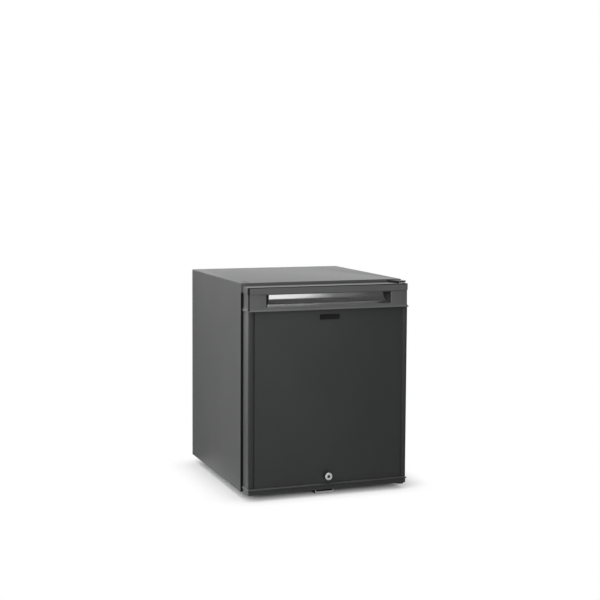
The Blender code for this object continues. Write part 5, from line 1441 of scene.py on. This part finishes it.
def flared_opening():
    """A cutter for the grip's opening, wider at the front so that its edge comes out rounded."""
    radius, before_door = 0.0012, 0.23

    def ring(grow, height):
        return (*both_ways(GRIP_HALF + grow), *grown(GRIP_Z, grow), height)
    rings = [ring(0.0, -(DOOR_FACE + CAP_WALL + OVERCUT))]
    rings += [ring(grow, -DOOR_FACE - down) for grow, down in quarter(radius)]
    rings.append(ring(radius, before_door))
    return stack(rings, axis="y")


def build_grip(sizes):
    """The glossy hollow behind the opening: its floor sweeps up to the back, and its ends slant in and are
    black as painted shade.
    """
    hidden, wall = 0.001, 0.0015
    start = DOOR_FACE + CAP_WALL + CLEAR
    half = GRIP_HALF + hidden
    low, high = grown(GRIP_Z, hidden)
    let_go()
    bpy.ops.mesh.primitive_plane_add(size=1)
    sweep = bpy.context.object
    edit(sweep, "VERT")
    bpy.ops.mesh.delete(type="ONLY_FACE")
    done()
    pick_edges(sweep, lambda left, right: along("x")(left, right) and left.y < 0)
    bpy.ops.mesh.select_all(action="INVERT")
    bpy.ops.mesh.delete(type="EDGE")
    done()
    sweep.scale = (half * 2, 1, 1)
    sweep.location = (0, start + 0.5, low)
    settle(sweep)
    edit(sweep, "EDGE")
    places = []
    for step in range(1, sizes.grip_steps + 1):
        angle = math.pi / 2 * step / sizes.grip_steps
        share = math.sin(angle)
        rise = (high - low) * math.cos(angle)
        places.append((half - GRIP_SLANT * share, start + GRIP_DEPTH * share, high - rise))
    places.append((half, start, high))
    last = (half, start, low)
    for reach, y, z in places:
        bpy.ops.mesh.extrude_edges_move(TRANSFORM_OT_translate={"value": (0, y - last[1], z - last[2])})
        bpy.ops.transform.resize(value=(reach / last[0], 1, 1), center_override=(0, y, z))
        last = (reach, y, z)
    done()
    for side in (-1, 1):
        pick_edges(sweep, lambda left, right: left.x * side > 0 and right.x * side > 0)
        bpy.ops.mesh.edge_face_add()
        done()
    face_out(sweep)
    face_opening(sweep, start)
    thicken(sweep, wall)
    rim_x, rim_z = 0.005, 0.0045
    rim = new_box(both_ways(half + rim_x), (start, start + wall), (low - rim_z, high + rim_z))
    carve(rim, new_box(both_ways(half), (start - OVERCUT, start + wall + OVERCUT), (low, high)))
    place_piece(gather(sweep, rim), "grip_hollow", "door", "gloss_black", "grip_insert")
    # The slanted ends of the hollow are painted black as painted shade.
    second_finish(sweep, "plate_black", lambda face: abs(face.normal.x) > 0.3)


def face_opening(obj, start):
    """Turns an open sheet's faces so that its hollow side faces the opening."""
    depth = start + 0.010
    if sum(face.normal.y * face.area for face in obj.data.polygons if face.center.y > depth) > 0:
        turn_over(obj)


def build_bottom_cap():
    """The lower cap with the ledge along its top."""
    proud, soft, ledge_height = 0.0008, 0.0016, 0.004
    low, top = span("door_bottom_cap")[2]
    rings = [cap_ring(proud - back, low + rise) for rise, back in quarter(soft)]
    ledge = ((proud, -0.0004), (0.0026, 0), (0.0030, 0.0003), (0.0030, 0.0014), (0.0027, 0.0018))
    rings += [cap_ring(out, top - ledge_height + up) for out, up in ledge]
    rings.append(cap_ring(0.0, top))
    cap = stack(rings, 0.0014)
    cave_y = (DOOR_FACE - proud + CAP_WALL, LINER_FACE)
    inside = new_box(both_ways(PROFILE_HALF + proud - CAP_WALL), cave_y, (low + CAP_WALL, top + OVERCUT))
    window = cap_window((low + CAP_FRAME, top + OVERCUT))
    slot_width, play = 0.021, 0.0005
    slot_z = (low - OVERCUT, low + CAP_WALL + OVERCUT)
    slot = new_box(around(slot_width, LOCK_X), grown(span("lock_bolt")[1], play), slot_z)
    bore = rod(BUSH_BORE, (HINGE_X, HINGE_Y, 0), "z", (low - OVERCUT, low + BUSH_SEAT))
    carve(cap, inside, window, slot, bore)
    place_piece(cap, "door_cap_lower", "door", "door_plastic", "door_bottom_cap")
    second_finish(cap, "door_sheet", lambda face: looks_front(face, 0.2))


def build_door_sides(sizes):
    """The side profiles, whose front strips have the sheet's satin finish, the front sheet and the plate."""
    wrap = DOOR_FACE + EDGE_WRAP
    for side in ("left", "right"):
        node = f"door_profile_{side}"
        profile = refined(node, sizes.fine_edge)
        split_at(profile, "y", wrap)
        place_piece(profile, f"door_side_{side}", "door", "door_plastic", node)
        second_finish(profile, "door_sheet", lambda face: looks_front(face, 0.2) or face.center.y < wrap)
    panel = round_edges(new_box(PANEL_X, PANEL_Y, PANEL_Z), 0.0004, 3)
    carve(panel, rod(0.0073, (LOCK_X, 0, LOCK_Z), "y", past(PANEL_Y)))
    place_piece(panel, "door_front_sheet", "door", "door_sheet", "door_panel")
    plate = round_along(new_box(*span("blank_plate")), "y", 0.0012, 5)
    pick_faces(plate, facing("y", -1))
    press_in(0.0008, 0.0002)
    round_edges(plate, 0.0002, 2)
    place_piece(plate, "bare_plate", "door", "plate_black", "blank_plate")


def build_door_liner():
    """The door's inner skin, with its flange, raised plug and pressed panel, and the seal."""
    x, y, z = span("door_liner")
    back = y[1]
    plug_x, plug_z, overlap = (-0.15, 0.15), (0.063, 0.457), 0.0008
    skin = new_box(x, (LINER_FACE, DOOR_BACK), z)
    plug = new_box(plug_x, (DOOR_BACK - overlap, back), plug_z)
    round_along(plug, "y", 0.006, 6)
    pick_edges(plug, lambda start, end: min(start.y, end.y) > back - CLEAR)
    bevel_picked(0.0035, 4)
    weld(skin, plug)
    wall, end_wall, border, sink = 0.0018, 0.0026, 0.020, 0.0008
    inner = new_box(grown(plug_x, -wall), (LINER_FACE - OVERCUT, back - end_wall), grown(plug_z, -wall))
    pocket = new_box(grown(plug_x, -border), (back - sink, back + OVERCUT), grown(plug_z, -border))
    carve(skin, inner, round_along(pocket, "y", 0.010, 6))
    place_piece(skin, "door_inner_skin", "door", "white_plastic", "door_liner")
    gasket = refined("door_gasket", 0.0004, 3)
    place_piece(gasket, "door_seal", "door", "rubber", "door_gasket", angle=0.9)


def build_seal_lips():
    """Dark rubber strips in the gap round the door, put there as painted shade so that the gap reads dark."""
    half, upright = PROFILE_HALF + BAND_PROUD, (0.0155, CAP_Z[1])
    outer, inner = 0.0016, 0.0128
    shade_strips = []
    for strip_y in ((DOOR_BACK + CLEAR, DOOR_BACK + 0.0024), (SHELL_Y[0] - 0.0028, SHELL_Y[0] - 0.0006)):
        lip = new_box(both_ways(half - outer), strip_y, grown(upright, -outer))
        carve(lip, new_box(both_ways(half - inner), past(strip_y), grown(upright, -inner)))
        shade_strips.append(round_edges(lip, 0.0007, 3))
    place_piece(gather(*shade_strips), "door_gap_shade_strips", "door", "rubber")


def build_racks():
    """Clear racks: rounded trays with a lowered front, a rail bead and upright ribs."""
    wall, ribs, rib_pitch = 0.002, 12, 0.0206
    for node in ("door_rack_lower", "door_rack_upper"):
        x, y, z = span(node)
        front, top = y[1], z[1]
        rack = round_along(new_box(x, y, z), "z", 0.006, 6)
        hollow(rack, "z", 1, wall, z[0] + wall)
        dip = new_box(grown(x, -0.020), (front - 0.006, front + 0.006), (top - 0.018, top + 0.02))
        carve(rack, round_along(dip, "y", 0.008, 6))
        bead = new_box(grown(x, -0.024), (front - 0.0022, front + 0.0014), (top - 0.0215, top - 0.0185))
        round_edges(bead, 0.0010, 3)
        rib_x, rib_z = (x[0] + 0.030, x[0] + 0.0315), (z[0] + 0.006, top - 0.0230)
        rib = new_box(rib_x, (front - 0.0012, front + 0.0008), rib_z)
        round_edges(rib, 0.0005, 2)
        repeat(rib, ribs, (rib_pitch, 0, 0))
        weld(rack, bead, rib)
        place_piece(rack, f"{node}_moulded", "door", "clear_plastic", node)


def build_lock(sizes):
    """The chrome barrel, its turning core with a round keyway, and the bolt. The barrel's face is a light
    grey that stands as a painted reflection, and its sides are black as painted shade.
    """
    axis = (LOCK_X, 0, LOCK_Z)
    y = span("lock_body")[1]
    tip, end, seat = -y[0], -y[1], -(PANEL_Y[0] - CLEAR)
    bore = 0.0043
    rings = [(bore, end), (0.007, end), (0.007, seat), (0.0087, seat), (0.0087, tip - 0.0026)]
    rings += [(0.0084, tip - 0.0022), (0.0084, tip - 0.0014), (0.0081, tip - 0.0006), (0.0074, tip - 0.0001)]
    rings += [(0.0066, tip), (0.0054, tip), (0.0050, tip - 0.0004), (bore, tip - 0.0008)]
    body = turned(rings, axis, "y", 64, tube=True)
    place_piece(body, "lock_barrel_ring", "door", "chrome", "lock_body")
    # The barrel's round sides are black as painted shade; its face keeps the light grey of a painted
    # reflection.
    second_finish(body, "black_steel", lambda face: abs(face.normal.y) < 0.3)

    y = span("lock_core")[1]
    tip, end = -y[0], -y[1]
    rings = [(0.004, end), (0.004, tip - 0.0003), (0.0037, tip), (0.0032, tip), (0.0032, tip - 0.005)]
    rings += [(0.0019, tip - 0.005), (0.0019, tip - 0.0002), (0.0017, tip)]
    core = turned(rings, axis, "y", 48)
    notch_z = (LOCK_Z + 0.0030, LOCK_Z + 0.0042)
    carve(core, new_box(around(0.0012, LOCK_X), (y[0] - OVERCUT, y[0] + 0.0045), notch_z))
    place_piece(core, "lock_key_core", "lock_barrel", "chrome", "lock_core")
    # The core's face takes the barrel's light grey as a painted reflection. The keyway is painted black and
    # lined with a dark rubber sleeve as painted shade.
    keyway = 0.0031

    def in_keyway(face):
        return math.hypot(face.center.x - LOCK_X, face.center.z - LOCK_Z) < keyway
    second_finish(core, "plate_black", in_keyway)
    deep, shallow = tip - 0.0049, tip - 0.0030
    rings = [(keyway, deep), (keyway, shallow), (0.0020, shallow), (0.0020, deep)]
    place_piece(turned(rings, axis, "y", 32, tube=True), "keyway_shade_sleeve", "lock_barrel", "rubber")
    place_piece(refined("lock_bolt", sizes.fine_edge), "lock_slide_bolt", "bolt", "steel", "lock_bolt")


# Studio

FOCAL = 76.65
SENSOR = 36.0
SHIFT_Y = -0.05
CAMERA_PLACE = (-1.0917, -2.9451, 0.7681)
YAW = 0.3575
PITCH = -0.0814
ROLL = 0.0059
LAMP_AIM = (0, 0, 0.25)
TOP_LAMP = ("top_lamp", (-0.3, -0.3, 2.6), (2.2, 2.2))
LEFT_LAMP = ("left_lamp", (-1.6, -0.75, 1.1), (1.0, 1.0))
FRONT_LAMP = ("front_lamp", (0.50, -3.4, 0.97), (1.4, 1.7))


def make_camera():
    """The camera of the photograph's angle, from its turn about the upright, its tilt and its roll."""
    ahead = Vector((math.sin(YAW), math.cos(YAW), 0))
    right = Vector((math.cos(YAW), -math.sin(YAW), 0))
    up = Vector((0, 0, 1))
    look = ahead * math.cos(PITCH) + up * math.sin(PITCH)
    over = up * math.cos(PITCH) - ahead * math.sin(PITCH)
    side = right * math.cos(ROLL) + over * math.sin(ROLL)
    over = over * math.cos(ROLL) - right * math.sin(ROLL)
    let_go()
    bpy.ops.object.camera_add(location=CAMERA_PLACE)
    camera = bpy.context.object
    turn = camera.matrix_world.to_3x3()
    turn.col[0] = side
    turn.col[1] = over
    turn.col[2] = -look
    camera.rotation_euler = turn.to_euler()
    camera.data.lens = FOCAL
    camera.data.sensor_width = SENSOR
    camera.data.shift_y = SHIFT_Y
    camera.data.dof.use_dof = False
    bpy.context.scene.camera = camera


def make_lamp(name, place, size, power):
    let_go()
    bpy.ops.object.light_add(type="AREA", location=place)
    lamp = bpy.context.object
    lamp.name = name
    lamp.data.shape = "RECTANGLE"
    lamp.data.size, lamp.data.size_y = size
    lamp.data.energy = power
    lamp.rotation_euler = (Vector(LAMP_AIM) - Vector(place)).to_track_quat("-Z", "Y").to_euler()


def seen_directly(board):
    """Two masks: one where the camera looks at a surface, and one where gloss or glass does."""
    rays = board.node("ShaderNodeLightPath", {}, {}, "Is Camera Ray").socket.node
    names = ("Is Camera Ray", "Is Glossy Ray", "Is Transmission Ray")
    camera, gloss, glass = [Link(board, rays.outputs[name]) for name in names]
    return camera, board.clamp(gloss + glass)


def make_world(levels):
    """A white backdrop for the camera, a dim plain light from all round, and a shaded one for gloss."""
    world = bpy.data.worlds.new("studio")
    bpy.context.scene.world = world
    world.use_nodes = True
    board = Board(world.node_tree)
    back = world.node_tree.nodes["Background"]
    camera, mirror = seen_directly(board)
    spot = board.node("ShaderNodeTexCoord", {}, {}, "Generated")
    ahead = board.part(spot, "Y")
    across = board.part(spot, "X")
    behind = board.clamp(ahead, -0.6, 0.35)
    leftwards = board.clamp(across * -1, 0.05, 0.45)
    from_front = levels.front_gloss + behind * (1 - levels.front_gloss)
    gloss = from_front * (1 - leftwards * (1 - levels.left_gloss))
    plain = levels.ambient * (1 - camera) * (1 - mirror)
    board.give(back.inputs["Strength"], camera + plain + mirror * gloss * (1 - camera))
    back.inputs["Color"].default_value = (1, 1, 1, 1)


def make_floor(levels):
    """A pale floor that keeps the object's shadow and fades to white further out."""
    let_go()
    bpy.ops.mesh.primitive_circle_add(vertices=96, radius=12, fill_type="NGON", location=(0, 0, 0))
    floor = bpy.context.object
    floor.name = "studio_floor"
    material = bpy.data.materials.new("studio_floor")
    material.use_nodes = True
    board = Board(material.node_tree)
    shader = material.node_tree.nodes["Principled BSDF"]
    shader.inputs["Roughness"].default_value = 0.6
    mottle = board.noise(0.4, 2.0)
    board.give(shader.inputs["Base Color"], board.blend(mottle, levels.floor, shade(levels.floor, 1.01)))
    output = material.node_tree.nodes["Material Output"]
    spot = board.node("ShaderNodeTexCoord", {}, {}, "Object")
    sides = []
    for axis, half in (("X", SHELL_X[1] - 0.026), ("Y", SHELL_Y[1] - 0.078)):
        place = board.part(spot, axis)
        away = board.node("ShaderNodeMath", {"operation": "ABSOLUTE"}, {0: place}) - half
        sides.append(away.sum("MAXIMUM", away, 0.0))
    reach = (sides[0] * sides[0] + sides[1] * sides[1]) ** 0.5
    camera, mirror = seen_directly(board)
    far = board.clamp(reach, levels.floor_near, levels.floor_far)
    grey = (levels.floor_gloss,) * 3
    tone = board.blend(camera, grey, (1, 1, 1))
    white = board.node("ShaderNodeEmission", {}, {"Color": tone, "Strength": 1.0})
    near = Link(board, shader.outputs["BSDF"])
    factor = board.clamp(camera + mirror) * far
    mixed = board.node("ShaderNodeMixShader", {}, {0: factor, 1: near, 2: white})
    board.give(output.inputs["Surface"], mixed)
    floor.data.materials.append(material)


# One operator for each piece or group of like pieces, and one for the stage

class FridgeStep:
    """What all the operators share"""
    bl_options = {"REGISTER", "UNDO"}


class FRIDGE_OT_finishes(FridgeStep, Operator):
    """Make the finishes and give the CAD nodes theirs"""
    bl_idname = "fridge.finishes"
    bl_label = "Finishes"

    def execute(self, context):
        make_finishes(context.scene.fridge_colours)
        dress_cad_nodes()
        return {"FINISHED"}


class FRIDGE_OT_shell(FridgeStep, Operator):
    """Build the cabinet's outer shell and its top plugs"""
    bl_idname = "fridge.shell"
    bl_label = "Cabinet shell"

    def execute(self, context):
        build_shell(context.scene.fridge_sizes)
        build_top_plugs()
        return {"FINISHED"}


class FRIDGE_OT_back(FridgeStep, Operator):
    """Build the rear sheet, the pan and the base rail"""
    bl_idname = "fridge.back"
    bl_label = "Rear sheet and base"

    def execute(self, context):
        build_back(context.scene.fridge_sizes)
        return {"FINISHED"}


class FRIDGE_OT_liner(FridgeStep, Operator):
    """Build the white inner tub"""
    bl_idname = "fridge.liner"
    bl_label = "Inner liner"

    def execute(self, context):
        build_liner(context.scene.fridge_sizes)
        return {"FINISHED"}


class FRIDGE_OT_hinges(FridgeStep, Operator):
    """Build the hinge plates, pins and bushes"""
    bl_idname = "fridge.hinges"
    bl_label = "Hinges"

    def execute(self, context):
        build_hinges(context.scene.fridge_sizes)
        return {"FINISHED"}


class FRIDGE_OT_screws(FridgeStep, Operator):
    """Build the screws of the hinges, the catch and the rear sheet"""
    bl_idname = "fridge.screws"
    bl_label = "Screws"

    def execute(self, context):
        build_screws()
        return {"FINISHED"}


class FRIDGE_OT_feet(FridgeStep, Operator):
    """Build the feet and the lock's catch"""
    bl_idname = "fridge.feet"
    bl_label = "Feet and catch"

    def execute(self, context):
        build_feet()
        build_catch(context.scene.fridge_sizes)
        return {"FINISHED"}


class FRIDGE_OT_shelves(FridgeStep, Operator):
    """Build the wire shelves"""
    bl_idname = "fridge.shelves"
    bl_label = "Wire shelves"

    def execute(self, context):
        build_shelves(context.scene.fridge_sizes)
        return {"FINISHED"}


class FRIDGE_OT_evaporator(FridgeStep, Operator):
    """Build the finned evaporator and its drip tray"""
    bl_idname = "fridge.evaporator"
    bl_label = "Evaporator and tray"

    def execute(self, context):
        build_evaporator(context.scene.fridge_sizes)
        return {"FINISHED"}


class FRIDGE_OT_controls(FridgeStep, Operator):
    """Build the control housing, knob, dial numbers and lamp cover"""
    bl_idname = "fridge.controls"
    bl_label = "Controls"

    def execute(self, context):
        build_control_box()
        build_knob(context.scene.fridge_sizes)
        return {"FINISHED"}


class FRIDGE_OT_boiler(FridgeStep, Operator):
    """Build the boiler's casing, heater and pipe"""
    bl_idname = "fridge.boiler"
    bl_label = "Boiler"

    def execute(self, context):
        build_boiler()
        return {"FINISHED"}


class FRIDGE_OT_condenser(FridgeStep, Operator):
    """Build the finned condenser"""
    bl_idname = "fridge.condenser"
    bl_label = "Condenser"

    def execute(self, context):
        build_condenser(context.scene.fridge_sizes)
        return {"FINISHED"}


class FRIDGE_OT_pipes(FridgeStep, Operator):
    """Build the pipes, coil and tank of the cooling unit"""
    bl_idname = "fridge.pipes"
    bl_label = "Unit pipes and tank"

    def execute(self, context):
        build_unit_pipes()
        return {"FINISHED"}


class FRIDGE_OT_terminals(FridgeStep, Operator):
    """Build the terminal housing and the mains inlet"""
    bl_idname = "fridge.terminals"
    bl_label = "Terminals"

    def execute(self, context):
        build_terminals()
        return {"FINISHED"}


class FRIDGE_OT_door_caps(FridgeStep, Operator):
    """Build the door's upper and lower caps and the grip"""
    bl_idname = "fridge.door_caps"
    bl_label = "Door caps and grip"

    def execute(self, context):
        build_top_cap(context.scene.fridge_sizes)
        build_grip(context.scene.fridge_sizes)
        build_bottom_cap()
        return {"FINISHED"}


class FRIDGE_OT_door_sides(FridgeStep, Operator):
    """Build the door's side profiles, front sheet and bare plate"""
    bl_idname = "fridge.door_sides"
    bl_label = "Door sides and sheet"

    def execute(self, context):
        build_door_sides(context.scene.fridge_sizes)
        return {"FINISHED"}


class FRIDGE_OT_door_liner(FridgeStep, Operator):
    """Build the door's inner skin, its seal and the dark strips that stand as painted shade in the gap round
    it
    """
    bl_idname = "fridge.door_liner"
    bl_label = "Door skin and seal"

    def execute(self, context):
        build_door_liner()
        build_seal_lips()
        return {"FINISHED"}


class FRIDGE_OT_racks(FridgeStep, Operator):
    """Build the door's racks"""
    bl_idname = "fridge.racks"
    bl_label = "Door racks"

    def execute(self, context):
        build_racks()
        return {"FINISHED"}


class FRIDGE_OT_lock(FridgeStep, Operator):
    """Build the lock's barrel, core and bolt"""
    bl_idname = "fridge.lock"
    bl_label = "Lock"

    def execute(self, context):
        build_lock(context.scene.fridge_sizes)
        return {"FINISHED"}


class FRIDGE_OT_studio(FridgeStep, Operator):
    """Set up the floor, world, lamps and camera"""
    bl_idname = "fridge.studio"
    bl_label = "Studio"

    def execute(self, context):
        levels = context.scene.fridge_studio
        make_floor(levels)
        make_world(levels)
        make_lamp(*TOP_LAMP, levels.top_power)
        make_lamp(*LEFT_LAMP, levels.left_power)
        make_lamp(*FRONT_LAMP, levels.front_power)
        make_camera()
        context.scene.view_settings.view_transform = "Standard"
        return {"FINISHED"}


STEPS = (
    FRIDGE_OT_finishes, FRIDGE_OT_shell, FRIDGE_OT_back, FRIDGE_OT_liner, FRIDGE_OT_hinges, FRIDGE_OT_screws,
    FRIDGE_OT_feet, FRIDGE_OT_shelves, FRIDGE_OT_evaporator, FRIDGE_OT_controls, FRIDGE_OT_boiler,
    FRIDGE_OT_condenser, FRIDGE_OT_pipes, FRIDGE_OT_terminals, FRIDGE_OT_door_caps, FRIDGE_OT_door_sides,
    FRIDGE_OT_door_liner, FRIDGE_OT_racks, FRIDGE_OT_lock, FRIDGE_OT_studio,
)


class FRIDGE_PT_steps(Panel):
    """The steps in their order, with the sizes, colours and studio levels"""
    bl_idname = "FRIDGE_PT_steps"
    bl_label = "Minibar fridge"
    bl_space_type = "VIEW_3D"
    bl_region_type = "UI"
    bl_category = "Fridge"

    def draw(self, context):
        scene = context.scene
        column = self.layout.column()
        for step in STEPS:
            column.operator(step.bl_idname)
        for group in (scene.fridge_sizes, scene.fridge_colours, scene.fridge_studio):
            box = self.layout.box()
            for name in group.__annotations__:
                box.prop(group, name)


CLASSES = (FridgeSizes, FridgeColours, StudioLevels, *STEPS, FRIDGE_PT_steps)


def register():
    for made in CLASSES:
        bpy.utils.register_class(made)
    bpy.types.Scene.fridge_sizes = PointerProperty(type=FridgeSizes)
    bpy.types.Scene.fridge_colours = PointerProperty(type=FridgeColours)
    bpy.types.Scene.fridge_studio = PointerProperty(type=StudioLevels)


def unregister():
    del bpy.types.Scene.fridge_studio
    del bpy.types.Scene.fridge_colours
    del bpy.types.Scene.fridge_sizes
    for made in reversed(CLASSES):
        bpy.utils.unregister_class(made)


def main():
    register()
    for step in STEPS:
        group, name = step.bl_idname.split(".")
        getattr(getattr(bpy.ops, group), name)()
    let_go()


if __name__ == "__main__":
    main()
